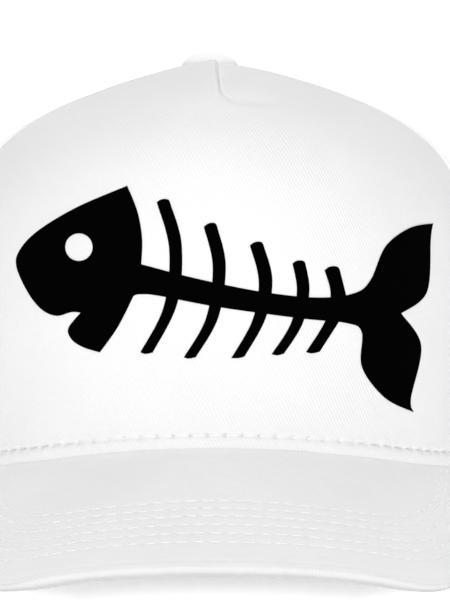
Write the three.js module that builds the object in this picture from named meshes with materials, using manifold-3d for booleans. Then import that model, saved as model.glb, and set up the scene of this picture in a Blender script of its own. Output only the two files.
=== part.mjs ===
// A five-panel baseball cap of white cotton twill with a fishbone figure printed on its front panel.
// It stands as a cap does on a table: on the back of its crown edge and on the two sides of its
// arched visor, with the front tipped up. Millimetres, +Z up, the visor towards -Y.
//
// Everything is built in the cap's own frame, whose XY plane is the head opening, and the whole
// cap is tipped up by REST_TILT at the end. A place on the crown is an azimuth, 0 at the front and
// positive towards +X, and a rise, 0 at the lower edge and 1 at the small hole under the button.

import * as THREE from "three";
import { mergeVertices } from "three/addons/utils/BufferGeometryUtils.js";
import Module from "manifold-3d";

const wasm = await Module();
wasm.setup();

// ---------------------------------------------------------------- driving dimensions

const GAP = 0.3; // clearance between pieces that touch
const CLOTH = 1.2; // one panel with its lining tape
const REST_TILT = THREE.MathUtils.degToRad(10.65);

const CROWN = {
  halfWidth: 84,
  front: 100,
  back: 98,
  height: 122,
  topHole: 4, // radius of the hole that the button's shank fills
  wellDepth: 2, // the button sits in a shallow well
  wellRadius: 9,
  topShift: -2.3, // the hole and the button sit a little to one side
  topShiftRadius: 30,
  liftFade: 4, // power with which the lower edge's lift dies away upwards
  liftCorner: THREE.MathUtils.degToRad(70), // the lower edge follows the visor as far as this
  liftEnd: THREE.MathUtils.degToRad(94),
};

// The panels puff out between their seams, which pull the skin in, then down near the top.
const PILLOW = { depth: 1.5, power: 6, starts: 0.08, full: 0.4, turns: 0.5, topRadius: 16 };

// Each meridian is g^across + t^up = 1, with g the share of the base radius and t of the height.
// The front's squarer shoulder and the back's slope blend into the sides by a power of the cosine.
const MERIDIAN = {
  front: { across: 1.6, up: 6.5, focus: 6 },
  side: { across: 1.2, up: 6.5 },
  back: { across: 1.6, up: 3, focus: 2 },
};
const MERIDIAN_STEPS = 90;

const SEAM = {
  frontLow: THREE.MathUtils.degToRad(62), // front to side seam at the lower edge
  frontHigh: THREE.MathUtils.degToRad(79), // the same seam over the upper half
  frontBend: 0.55, // share of the rise over which it bends from the one to the other
  side: THREE.MathUtils.degToRad(124),
};

const VISOR = {
  halfWidth: 90, // along the curved board
  depth: 68.5, // on the centre line
  corner: -62, // how far back the corners lie
  squareness: 3, // exponent of the outline
  archRadius: 108,
  slope: THREE.MathUtils.degToRad(29),
  thickness: 3,
  tuck: 1.5, // how far the board reaches under the crown's edge
  edgeThickness: 0.8,
  rimStarts: 0.93, // share of the way out at which the board starts to thin
};

// The half-moon opening above the strap.
const ARCH = { halfWidth: 42, height: 52, cutFrom: 49, cutTo: 147 };

const STRAP = {
  width: 24,
  thickness: 1.3,
  tuckedDepth: CLOTH + GAP,
  overDepth: -0.2, // the outer strap lies level with the panels
  tail: THREE.MathUtils.degToRad(36), // half angle at which each strap is sewn in
  rampStart: THREE.MathUtils.degToRad(23),
  rampEnd: THREE.MathUtils.degToRad(19),
  overlap: THREE.MathUtils.degToRad(14),
};

const BAND = { width: 32, thickness: 1, depth: 2.4, lift: 0.6, end: THREE.MathUtils.degToRad(38) };

const BUTTON = {
  radius: 9,
  height: 5.1,
  skirt: 1, // height of its upright rim
  undercut: 0.6,
  squareness: 0.75,
  seat: 121.2,
  shankRadius: 3.2,
  shankLength: 2.6,
};

const EYELET = { radius: 3.9, cord: 1.1, rise: 0.72, azimuths: [101, 152], holeLength: 7.2 };

// The figure is drawn square to a line of sight that rises a little from the front, and it looks
// undistorted from SIGHT.distance. Its plane stands at the crown's front edge, and both places on
// it are [right, up] from the middle of the visor's seam.
const SIGHT = { rise: THREE.MathUtils.degToRad(3), distance: 1200, axis: [2.6, 42.9] };
const PRINT = { thickness: 0.5, centre: [2.6, 46.4], reach: 75, margin: 2 };

const COLOURS = {
  twill: { color: 0xf2f2f0, roughness: 0.9, metalness: 0 },
  visorTwill: { color: 0xeeeeec, roughness: 0.9, metalness: 0 },
  lining: { color: 0xe9e9e7, roughness: 0.95, metalness: 0 },
  strap: { color: 0xebebe9, roughness: 0.85, metalness: 0 },
  thread: { color: 0xf6f6f5, roughness: 0.7, metalness: 0 },
  ink: { color: 0x050505, roughness: 0.75, metalness: 0 },
};

// ---------------------------------------------------------------- the crown's skin

const smooth = (low, high, value) => THREE.MathUtils.smoothstep(value, low, high);

function baseRadius(azimuth) {
  const depth = Math.cos(azimuth) > 0 ? CROWN.front : CROWN.back;
  return 1 / Math.hypot(Math.sin(azimuth) / CROWN.halfWidth, Math.cos(azimuth) / depth);
}

function meridianPowers(azimuth) {
  const end = Math.cos(azimuth) > 0 ? MERIDIAN.front : MERIDIAN.back;
  const along = Math.abs(Math.cos(azimuth)) ** end.focus;
  return {
    across: THREE.MathUtils.lerp(MERIDIAN.side.across, end.across, along),
    up: THREE.MathUtils.lerp(MERIDIAN.side.up, end.up, along),
  };
}

// Radius of the skin at a height over the head opening's plane.
function radiusAt(azimuth, height) {
  const { across, up } = meridianPowers(azimuth);
  const share = Math.max(0, height) / CROWN.height;
  return baseRadius(azimuth) * (1 - share ** up) ** (1 / across);
}

// The point of a meridian at a share of its length, as [radius, height].
function meridianPoint(azimuth, rise) {
  const { across, up } = meridianPowers(azimuth);
  const radius = baseRadius(azimuth);
  const last = Math.acos((CROWN.topHole / radius) ** (across / 2));
  const points = [];
  const lengths = [0];
  for (let i = 0; i <= MERIDIAN_STEPS; i++) {
    const turn = (last * i) / MERIDIAN_STEPS;
    points.push([radius * Math.cos(turn) ** (2 / across), CROWN.height * Math.sin(turn) ** (2 / up)]);
    if (i > 0) {
      const [a, b] = [points[i - 1], points[i]];
      lengths.push(lengths[i - 1] + Math.hypot(b[0] - a[0], b[1] - a[1]));
    }
  }
  const wanted = rise * lengths[MERIDIAN_STEPS];
  const found = lengths.findIndex((length) => length >= wanted);
  const i = Math.max(1, found < 0 ? MERIDIAN_STEPS : found);
  const share = (wanted - lengths[i - 1]) / (lengths[i] - lengths[i - 1]);
  return [0, 1].map((k) => THREE.MathUtils.lerp(points[i - 1][k], points[i][k], share));
}

// Height of the visor board's top face over the head opening's plane.
function visorHeight(x, y) {
  const turn = Math.asin(THREE.MathUtils.clamp(x / VISOR.archRadius, -1, 1));
  const drop = VISOR.archRadius * (1 - Math.cos(turn));
  const out = (drop * Math.sin(VISOR.slope) - CROWN.front - y) / Math.cos(VISOR.slope);
  return -out * Math.sin(VISOR.slope) - drop * Math.cos(VISOR.slope);
}

// The crown's lower edge follows the visor round the front, then comes back to the plane.
function edgeLift(azimuth) {
  const side = Math.min(Math.abs(azimuth), CROWN.liftCorner);
  const radius = baseRadius(side);
  const lift = visorHeight(radius * Math.sin(side), -radius * Math.cos(side));
  return lift * (1 - smooth(CROWN.liftCorner, CROWN.liftEnd, Math.abs(azimuth)));
}

// The smooth skin without pillowing.
function crownSkin(azimuth, rise) {
  const [radius, height] = meridianPoint(azimuth, rise);
  const low = Math.max(0, 1 - height / CROWN.height) ** CROWN.liftFade;
  const well = CROWN.wellDepth * Math.exp(-((radius / CROWN.wellRadius) ** 2));
  const shift = CROWN.topShift * (1 - smooth(0, CROWN.topShiftRadius, radius));
  return new THREE.Vector3(
    radius * Math.sin(azimuth) + shift,
    -radius * Math.cos(azimuth),
    height + edgeLift(azimuth) * low - well,
  );
}

const frontSeam = (rise) =>
  THREE.MathUtils.lerp(SEAM.frontLow, SEAM.frontHigh, smooth(0, SEAM.frontBend, rise));
const sideSeam = () => SEAM.side;
const backSeam = () => Math.PI;

// A panel lies between two seams. `across` runs from -1 at one seam to 1 at the other.
function panelAzimuth(panel, across, rise) {
  const radius = Math.max(CROWN.topHole, meridianPoint(panel.from(rise), rise)[0]);
  const inset = GAP / 2 / radius;
  const low = panel.from(rise) + inset;
  const high = panel.to(rise) - inset;
  return THREE.MathUtils.mapLinear(across, -1, 1, low, high);
}

// The panel's outer face: the skin, dipping towards the seams, most of all over the upper crown.
function panelSkin(panel, across, rise) {
  const azimuth = panelAzimuth(panel, across, rise);
  const point = crownSkin(azimuth, rise);
  const radius = Math.hypot(point.x, point.y);
  const fade = smooth(PILLOW.starts, PILLOW.full, rise) * smooth(CROWN.topHole, PILLOW.topRadius, radius);
  const dip = PILLOW.depth * fade * Math.abs(across) ** PILLOW.power;
  const inward = new THREE.Vector3(-point.x, -point.y, 0).normalize();
  const lean = smooth(PILLOW.turns, 1, rise);
  return point.addScaledVector(inward, dip * (1 - lean)).add(new THREE.Vector3(0, 0, -dip * lean));
}

// ---------------------------------------------------------------- closed shells from grids

// A point moved inwards by `depth` along the normal of the surface that `skin(a, b)` gives.
function sunk(skin, a, b, depth) {
  const step = 1e-3;
  const alongA = skin(a + step, b).sub(skin(a - step, b));
  const low = Math.max(0, b - step);
  const high = Math.min(1, b + step);
  const alongB = skin(a, high).sub(skin(a, low));
  const normal = alongA.cross(alongB).normalize();
  return skin(a, b).addScaledVector(normal, -depth);
}

// A closed sheet between two grids of points with the same layout, `outer` seen with its columns
// running left to right and its rows upwards.
function sheetGeometry(outer, inner) {
  const columns = outer.length;
  const rows = outer[0].length;
  const positions = [outer, inner].flat(2).flatMap((point) => point.toArray());
  const out = (i, j) => i * rows + j;
  const inn = (i, j) => columns * rows + i * rows + j;
  const index = [];
  const quad = (a, b, c, d) => index.push(a, b, c, a, c, d);
  for (let i = 0; i + 1 < columns; i++) {
    for (let j = 0; j + 1 < rows; j++) {
      quad(out(i, j), out(i + 1, j), out(i + 1, j + 1), out(i, j + 1));
      quad(inn(i, j), inn(i, j + 1), inn(i + 1, j + 1), inn(i + 1, j));
    }
    quad(out(i, 0), inn(i, 0), inn(i + 1, 0), out(i + 1, 0));
    quad(out(i, rows - 1), out(i + 1, rows - 1), inn(i + 1, rows - 1), inn(i, rows - 1));
  }
  for (let j = 0; j + 1 < rows; j++) {
    quad(out(0, j), out(0, j + 1), inn(0, j + 1), inn(0, j));
    quad(out(columns - 1, j), inn(columns - 1, j), inn(columns - 1, j + 1), out(columns - 1, j + 1));
  }
  const geometry = new THREE.BufferGeometry();
  geometry.setAttribute("position", new THREE.Float32BufferAttribute(positions, 3));
  geometry.setIndex(index);
  return geometry;
}

const steps = (count, low, high) =>
  Array.from({ length: count + 1 }, (_, i) => THREE.MathUtils.lerp(low, high, i / count));

// A sheet that follows `skin(a, b)`, from `top` deep to `bottom` deep.
function skinSheet(skin, as, bs, top, bottom) {
  const grid = (depth) => as.map((a) => bs.map((b) => sunk(skin, a, b, depth)));
  return sheetGeometry(grid(top), grid(bottom));
}

// ---------------------------------------------------------------- cutting and joining

function toSolid(geometry) {
  const bare = geometry.clone();
  bare.deleteAttribute("normal");
  bare.deleteAttribute("uv");
  const merged = mergeVertices(bare, 1e-4);
  return new wasm.Manifold(
    new wasm.Mesh({
      numProp: 3,
      vertProperties: merged.attributes.position.array,
      triVerts: new Uint32Array(merged.index.array),
    }),
  );
}

function toGeometry(solid) {
  const mesh = solid.getMesh();
  const geometry = new THREE.BufferGeometry();
  geometry.setAttribute("position", new THREE.BufferAttribute(mesh.vertProperties, 3));
  geometry.setIndex(new THREE.BufferAttribute(mesh.triVerts, 1));
  return geometry;
}

const cut = (geometry, tools) =>
  toGeometry(tools.reduce((solid, tool) => solid.subtract(toSolid(tool)), toSolid(geometry)));

// ---------------------------------------------------------------- panels, eyelets, back opening

const PANELS = {
  front_panel: { from: (rise) => -frontSeam(rise), to: frontSeam, columns: 26, rows: 14 },
  side_panel_right: { from: frontSeam, to: sideSeam, columns: 8, rows: 13 },
  side_panel_left: { from: () => -SEAM.side, to: (rise) => -frontSeam(rise), columns: 8, rows: 13 },
  back_panel_right: { from: sideSeam, to: backSeam, columns: 9, rows: 13 },
  back_panel_left: { from: () => -Math.PI, to: () => -SEAM.side, columns: 9, rows: 13 },
};

function panelGeometry(panel, top = 0, bottom = CLOTH) {
  const skin = (across, rise) => panelSkin(panel, across, rise);
  return skinSheet(skin, steps(panel.columns, -1, 1), steps(panel.rows, 0, 1), top, bottom);
}

// Where an eyelet sits: its centre in the cloth's middle, and the way it faces.
function eyeletPlace(azimuthDegrees) {
  const azimuth = THREE.MathUtils.degToRad(azimuthDegrees);
  const outside = sunk(crownSkin, azimuth, EYELET.rise, 0);
  const inside = sunk(crownSkin, azimuth, EYELET.rise, CLOTH);
  const facing = outside.clone().sub(inside).normalize();
  const turn = new THREE.Quaternion().setFromUnitVectors(new THREE.Vector3(0, 0, 1), facing);
  return { centre: outside.lerp(inside, 0.5), turn };
}

function eyeletHole(azimuthDegrees) {
  const { centre, turn } = eyeletPlace(azimuthDegrees);
  const radius = EYELET.radius + EYELET.cord + GAP;
  const hole = new THREE.CylinderGeometry(radius, radius, EYELET.holeLength, 16);
  return hole.rotateX(Math.PI / 2).applyQuaternion(turn).translate(centre.x, centre.y, centre.z);
}

// The half-moon opening at the back, as a rod of half-elliptic section along Y.
function archTool() {
  const outline = new THREE.Shape();
  outline.absellipse(0, 0, ARCH.halfWidth, ARCH.height, 0, 2 * Math.PI, false, 0);
  const depth = ARCH.cutTo - ARCH.cutFrom;
  const rod = new THREE.ExtrudeGeometry(outline, { depth, bevelEnabled: false, curveSegments: 20 });
  return rod.rotateX(Math.PI / 2).translate(0, ARCH.cutTo, 0);
}

// ---------------------------------------------------------------- visor

// A place on the board's top face: `along` across the curved board, `out` away from the crown.
function visorSkin(along, out) {
  const turn = along / VISOR.archRadius;
  const drop = VISOR.archRadius * (1 - Math.cos(turn));
  return new THREE.Vector3(
    VISOR.archRadius * Math.sin(turn),
    -CROWN.front - out * Math.cos(VISOR.slope) + drop * Math.sin(VISOR.slope),
    -out * Math.sin(VISOR.slope) - drop * Math.cos(VISOR.slope),
  );
}

// Where the board meets the crown's outer face.
function visorInner(along) {
  const turn = along / VISOR.archRadius;
  const drop = VISOR.archRadius * (1 - Math.cos(turn));
  const x = VISOR.archRadius * Math.sin(turn);
  const y = -CROWN.front * Math.sqrt(1 - (x / CROWN.halfWidth) ** 2);
  return (drop * Math.sin(VISOR.slope) - CROWN.front - y) / Math.cos(VISOR.slope);
}

function visorOuter(along) {
  const share = Math.min(1, Math.abs(along) / VISOR.halfWidth);
  const bow = (1 - share ** VISOR.squareness) ** (1 / VISOR.squareness);
  return THREE.MathUtils.lerp(VISOR.corner, VISOR.depth, bow);
}

function visorGeometry() {
  const alongs = steps(28, -Math.PI / 2, Math.PI / 2).map((turn) => VISOR.halfWidth * Math.sin(turn));
  const shares = [0, 0.2, 0.4, 0.6, 0.8, VISOR.rimStarts, 0.98, 1];
  // The board thins to a rounded rim over its last stretch.
  const thin = (share) => {
    const near = smooth(VISOR.rimStarts, 1, share);
    return ((VISOR.thickness - VISOR.edgeThickness) / 2) * near ** 2;
  };
  const place = (along, share, side) => {
    const out = THREE.MathUtils.lerp(visorInner(along), visorOuter(along), share);
    const depth = side === "top" ? GAP + thin(share) : GAP + VISOR.thickness - thin(share);
    const turn = along / VISOR.archRadius;
    const normal = new THREE.Vector3(
      Math.sin(turn),
      -Math.sin(VISOR.slope) * Math.cos(turn),
      Math.cos(VISOR.slope) * Math.cos(turn),
    );
    return visorSkin(along, out).addScaledVector(normal, -depth);
  };
  // The innermost row runs level under the crown's edge.
  const tucked = (point) => {
    const inward = new THREE.Vector3(-point.x, -point.y, 0).setLength(VISOR.tuck);
    return point.clone().add(inward);
  };
  const grid = (side) =>
    alongs.map((along) => {
      const column = shares.map((share) => place(along, share, side));
      return [tucked(column[0]), ...column];
    });
  return sheetGeometry(grid("bottom"), grid("top"));
}

// ---------------------------------------------------------------- sweatband, straps, button

// A vertical strip inside or level with the crown's lower edge, at a depth that may vary.
function stripGeometry(azimuths, low, high, depthAt, thickness) {
  const grid = (extra) =>
    azimuths.map((azimuth) => {
      const at = (z) => {
        const radius = radiusAt(azimuth, z) - depthAt(azimuth) - extra;
        return new THREE.Vector3(radius * Math.sin(azimuth), -radius * Math.cos(azimuth), z);
      };
      const lift = edgeLift(azimuth);
      return [at(low + lift), at((low + high) / 2 + lift / 2), at(high)];
    });
  return sheetGeometry(grid(0), grid(thickness));
}

function sweatbandGeometry() {
  const azimuths = steps(52, -Math.PI + BAND.end, Math.PI - BAND.end);
  return stripGeometry(azimuths, BAND.lift, BAND.width, () => BAND.depth, BAND.thickness);
}

// The right strap stays behind the panels' edge, the left one rises over it inside the opening.
function strapGeometry(side) {
  const azimuths =
    side === "right"
      ? steps(18, Math.PI - STRAP.tail, Math.PI + STRAP.overlap)
      : steps(18, Math.PI - STRAP.overlap, Math.PI + STRAP.tail);
  const depthAt = (azimuth) => {
    const over = side === "right" ? 0 : 1 - smooth(STRAP.rampEnd, STRAP.rampStart, azimuth - Math.PI);
    return THREE.MathUtils.lerp(STRAP.tuckedDepth, STRAP.overDepth, over);
  };
  return stripGeometry(azimuths, 0, STRAP.width, depthAt, STRAP.thickness);
}

function buttonGeometry() {
  const dome = steps(5, 0, Math.PI / 2).map(
    (turn) =>
      new THREE.Vector2(
        BUTTON.radius * Math.cos(turn) ** BUTTON.squareness,
        THREE.MathUtils.lerp(BUTTON.skirt, BUTTON.height, Math.sin(turn)),
      ),
  );
  dome[dome.length - 1].x = 0;
  const profile = [
    new THREE.Vector2(0, -BUTTON.shankLength),
    new THREE.Vector2(BUTTON.shankRadius, -BUTTON.shankLength),
    new THREE.Vector2(BUTTON.shankRadius, 0),
    new THREE.Vector2(BUTTON.radius - BUTTON.undercut, 0),
    ...dome,
  ];
  const button = new THREE.LatheGeometry(profile, 20);
  return button.rotateX(Math.PI / 2).translate(CROWN.topShift, 0, BUTTON.seat);
}

// ---------------------------------------------------------------- the printed fishbone

// All figure points are [right, up] from the middle of the print.
const FISH = {
  browToSnout: [[-28.4, 29.3], [-46.5, 21.2], [-54.6, 16.5], [-58.8, 11.7], [-60.4, 7.5]],
  snoutToMouth: [[-60.4, 7.5], [-56.7, -1.4], [-52.5, -6.4], [-48.7, -7.9], [-44.8, -6.8], [-41.9, -7.3]],
  mouthToJaw: [[-41.9, -7.3], [-45.3, -11.5], [-44, -15.1], [-41.4, -16.8], [-36.3, -18.3]],
  jawToNape: [[-36.3, -18.3], [-32.9, -13.8], [-29.1, -7.4], [-27, -2.6]],
  gill: [[-24.5, 6.8], [-24, 12.6], [-25.9, 23.8], [-28.4, 29.3]],
  eye: { centre: [-42.3, 11.8], radius: 4 },
  spineTop: [[-27, 7.2], [-16, 4.7], [0, 0.7], [13.3, -1.7], [34.5, -2.3]],
  spineUnder: [[35.5, -9.8], [19.9, -8.3], [-1.2, -5.5], [-17, -2.8], [-27, -2.6]],
  ribWidth: 3.4,
  ribs: [
    { top: [-17.8, 25.2], middle: [-14.2, 4.3], bottom: [-22.5, -18.6] },
    { top: [-4.3, 18.1], middle: [-1.7, 1.2], bottom: [-9.9, -20] },
    { top: [9.1, 12.8], middle: [11.6, -1.4], bottom: [3.9, -20.2] },
    { top: [21.3, 7.4], middle: [22.6, -2.2], bottom: [15.4, -19.1] },
    { top: [31, 5.5], middle: [32.6, -2.6], bottom: [25.6, -18.8] },
  ],
  upperLobe: [[32.5, -2], [40.3, 0], [44.1, 5.8], [45.5, 10.4], [51.3, 16.5], [60.3, 18.6]],
  upperLobeBack: [[60.3, 18.6], [59.3, 11.9], [59.4, 7], [55.8, -4.9], [51.3, -7.7]],
  lowerLobeBack: [[51.3, -7.7], [55.8, -14.4], [55.8, -23.8], [53.6, -31.7], [54.8, -36.1]],
  lowerLobe: [[54.8, -36.1], [45.1, -29.9], [39.6, -20.6], [39.9, -13.5], [36, -10]],
};

const vectors = (points) => points.map(([x, y]) => new THREE.Vector2(x, y));

function shapeThrough(...stretches) {
  const shape = new THREE.Shape();
  shape.moveTo(...stretches[0][0]);
  stretches.forEach((stretch) => {
    shape.lineTo(...stretch[0]);
    shape.splineThru(vectors(stretch.slice(1)));
  });
  shape.closePath();
  return shape;
}

function headShape() {
  const { browToSnout, snoutToMouth, mouthToJaw, jawToNape, gill } = FISH;
  const head = shapeThrough(browToSnout, snoutToMouth, mouthToJaw, jawToNape, gill);
  const eye = new THREE.Path();
  eye.absarc(...FISH.eye.centre, FISH.eye.radius, 0, 2 * Math.PI, true);
  head.holes.push(eye);
  return head;
}

// A rib is a bar of even width along the circle through three points.
function ribShape({ top, middle, bottom }) {
  const [a, b, c] = vectors([top, middle, bottom]);
  const d = 2 * (a.x * (b.y - c.y) + b.x * (c.y - a.y) + c.x * (a.y - b.y));
  const [a2, b2, c2] = [a, b, c].map((p) => p.lengthSq());
  const centre = new THREE.Vector2(
    (a2 * (b.y - c.y) + b2 * (c.y - a.y) + c2 * (a.y - b.y)) / d,
    (a2 * (c.x - b.x) + b2 * (a.x - c.x) + c2 * (b.x - a.x)) / d,
  );
  const radius = centre.distanceTo(a);
  const start = a.clone().sub(centre).angle();
  const end = c.clone().sub(centre).angle() - 2 * Math.PI;
  const half = FISH.ribWidth / 2;
  const rib = new THREE.Shape();
  rib.absarc(centre.x, centre.y, radius + half, start, end, true);
  rib.absarc(centre.x, centre.y, radius - half, end, start, false);
  rib.closePath();
  return rib;
}

// The figure's pieces run out along the lines of sight, in the cap's frame.
function castForward(shape, segments) {
  const geometry = new THREE.ExtrudeGeometry(shape, {
    depth: PRINT.reach,
    steps: 1,
    bevelEnabled: false,
    curveSegments: segments,
  });
  geometry.rotateX(Math.PI / 2);
  const places = geometry.attributes.position;
  const axis = SIGHT.axis;
  for (let i = 0; i < places.count; i++) {
    const beyond = places.getY(i) + PRINT.reach - PRINT.margin;
    const spread = 1 + beyond / SIGHT.distance;
    const right = places.getX(i) + PRINT.centre[0] - axis[0];
    const up = places.getZ(i) + PRINT.centre[1] - axis[1];
    places.setXYZ(i, axis[0] + right * spread, beyond, axis[1] + up * spread);
  }
  return geometry.rotateX(SIGHT.rise).translate(0, -CROWN.front, 0);
}

function printGeometry() {
  const pieces = [
    [headShape(), 3],
    [shapeThrough(FISH.spineTop, FISH.spineUnder), 2],
    [shapeThrough(FISH.upperLobe, FISH.upperLobeBack, FISH.lowerLobeBack, FISH.lowerLobe), 3],
    ...FISH.ribs.map((rib) => [ribShape(rib), 6]),
  ];
  const figure = pieces
    .map(([shape, segments]) => toSolid(castForward(shape, segments)))
    .reduce((sum, piece) => sum.add(piece));
  const film = toSolid(panelGeometry(PANELS.front_panel, -GAP - PRINT.thickness, -GAP));
  return toGeometry(figure.intersect(film));
}

// ---------------------------------------------------------------- the cap

const cap = new THREE.Group();

function addPiece(name, geometry, finish) {
  const piece = new THREE.Mesh(geometry, new THREE.MeshStandardMaterial(COLOURS[finish]));
  piece.name = name;
  cap.add(piece);
  return piece;
}

const eyeletsRight = EYELET.azimuths;
const eyeletsLeft = EYELET.azimuths.map((azimuth) => -azimuth);
const panelCuts = {
  front_panel: [],
  side_panel_right: [eyeletHole(eyeletsRight[0])],
  side_panel_left: [eyeletHole(eyeletsLeft[0])],
  back_panel_right: [eyeletHole(eyeletsRight[1]), archTool()],
  back_panel_left: [eyeletHole(eyeletsLeft[1]), archTool()],
};
for (const [name, panel] of Object.entries(PANELS)) {
  addPiece(name, cut(panelGeometry(panel), panelCuts[name]), "twill");
}

for (const [side, azimuths] of [["right", eyeletsRight], ["left", eyeletsLeft]]) {
  azimuths.forEach((azimuth, i) => {
    const ring = new THREE.TorusGeometry(EYELET.radius, EYELET.cord, 6, 12);
    const piece = addPiece(`eyelet_${side}_${i + 1}`, ring, "thread");
    const { centre, turn } = eyeletPlace(azimuth);
    piece.position.copy(centre);
    piece.quaternion.copy(turn);
  });
}

addPiece("visor", visorGeometry(), "visorTwill");
addPiece("sweatband", sweatbandGeometry(), "lining");
addPiece("strap_right", strapGeometry("right"), "strap");
addPiece("strap_left", strapGeometry("left"), "strap");
addPiece("button", buttonGeometry(), "twill");
addPiece("fishbone_print", printGeometry(), "ink");

// Tip the cap up, then stand it on the table with its box centred over the origin.
cap.rotation.x = -REST_TILT;
cap.updateMatrixWorld(true);
const box = new THREE.Box3().setFromObject(cap, true);
const centre = box.getCenter(new THREE.Vector3());
cap.position.set(-centre.x, -centre.y, -box.min.z);

const part = new THREE.Group();
part.add(cap);

export default part;
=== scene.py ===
"""A white baseball cap of cotton twill with a fishbone printed on its front, dressed on its frame.

Shapes are worked out in millimetres in the cap's own frame, whose XY plane is the head opening and
whose -Y axis points over the visor. CapFrame tips them up to the resting pose, in metres. A place
on the crown is an azimuth, 0 at the front and positive towards +X, and a rise, 0 at the lower edge
and 1 at the small hole under the button.
"""

import logging
import math
from collections.abc import Callable
from dataclasses import dataclass, field
from enum import Enum
from typing import Any

import bpy
import numpy as np
from mathutils import Matrix, Vector


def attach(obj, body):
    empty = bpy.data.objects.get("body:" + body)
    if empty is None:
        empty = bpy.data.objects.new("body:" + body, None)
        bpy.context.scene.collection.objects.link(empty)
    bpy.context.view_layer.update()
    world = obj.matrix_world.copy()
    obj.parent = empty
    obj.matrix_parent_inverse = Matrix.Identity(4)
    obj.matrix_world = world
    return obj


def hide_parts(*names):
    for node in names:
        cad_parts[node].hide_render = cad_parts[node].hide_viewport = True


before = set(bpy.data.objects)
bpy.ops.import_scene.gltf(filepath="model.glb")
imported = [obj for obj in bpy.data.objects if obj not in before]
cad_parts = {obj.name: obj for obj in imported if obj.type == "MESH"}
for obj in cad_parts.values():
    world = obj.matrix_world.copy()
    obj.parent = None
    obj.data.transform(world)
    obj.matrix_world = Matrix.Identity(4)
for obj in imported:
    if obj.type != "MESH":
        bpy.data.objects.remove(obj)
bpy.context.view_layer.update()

logging.basicConfig(level=logging.INFO, format="%(message)s")
log = logging.getLogger("cap")

Array = np.ndarray
Place = Callable[[Array, Array], Array]

MM = 0.001
BODY = "root"
GAP = 0.3
SEAM_GAP = 0.06
CLOTH = 1.2
RIPPLE_WAVES = 6
RIPPLE_TURN = 2.4
RIPPLE_PACE = 0.4
RIPPLE_SHIFT = 5
RIPPLE_FADE = 0.6


class Side(Enum):
    """The cap's two halves, as seen from the front."""

    LEFT = -1
    RIGHT = 1

    @property
    def label(self) -> str:
        """The side's name in a piece's name."""
        return self.name.lower()


# ---------------------------------------------------------------- small maths


def smooth(low: float, high: float, value: Array) -> Array:
    """A smooth step from 0 at `low` to 1 at `high`."""
    share = np.clip((np.asarray(value, float) - low) / (high - low), 0, 1)
    return share * share * (3 - 2 * share)


def bell(value: Array, width: float) -> Array:
    """A bell of height 1 at 0, about `width` to each side."""
    return np.exp(-((np.asarray(value, float) / width) ** 2))


def unit(vectors: Array) -> Array:
    """The vectors, each scaled to length 1."""
    return vectors / np.maximum(np.linalg.norm(vectors, axis=-1, keepdims=True), 1e-12)


def stack(x: Array, y: Array, z: Array) -> Array:
    """Points from their three coordinates."""
    return np.stack(np.broadcast_arrays(x, y, z), axis=-1).astype(float)


def ripple(u: Array, v: Array, size: float, phase: float) -> Array:
    """An uneven swell, as cloth has that lies over something.

    Args:
        u: One coordinate of each place.
        v: The other coordinate.
        size: Length of the longest wave, in the same unit.
        phase: Tells one piece's swell from another's.

    Returns:
        Heights between about -1 and 1.
    """
    total = np.zeros(np.broadcast(u, v).shape)
    for wave in range(RIPPLE_WAVES):
        turn = phase + RIPPLE_TURN * wave
        pace = 2 * math.pi / size * (1 + RIPPLE_PACE * wave)
        swell = np.sin(pace * (u * math.cos(turn) + v * math.sin(turn)) + RIPPLE_SHIFT * turn)
        total += swell / (1 + RIPPLE_FADE * wave)
    return total / 2


def distance_to(line: list[tuple[float, float]], x: Array, y: Array) -> Array:
    """Distance of each place to a line through the given points."""
    nearest = np.full(np.shape(x), np.inf)
    for (x0, y0), (x1, y1) in zip(line, line[1:]):
        dx, dy = x1 - x0, y1 - y0
        share = np.clip(((x - x0) * dx + (y - y0) * dy) / (dx * dx + dy * dy), 0, 1)
        nearest = np.minimum(nearest, np.hypot(x - x0 - share * dx, y - y0 - share * dy))
    return nearest


# ---------------------------------------------------------------- the cap's shape


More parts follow.
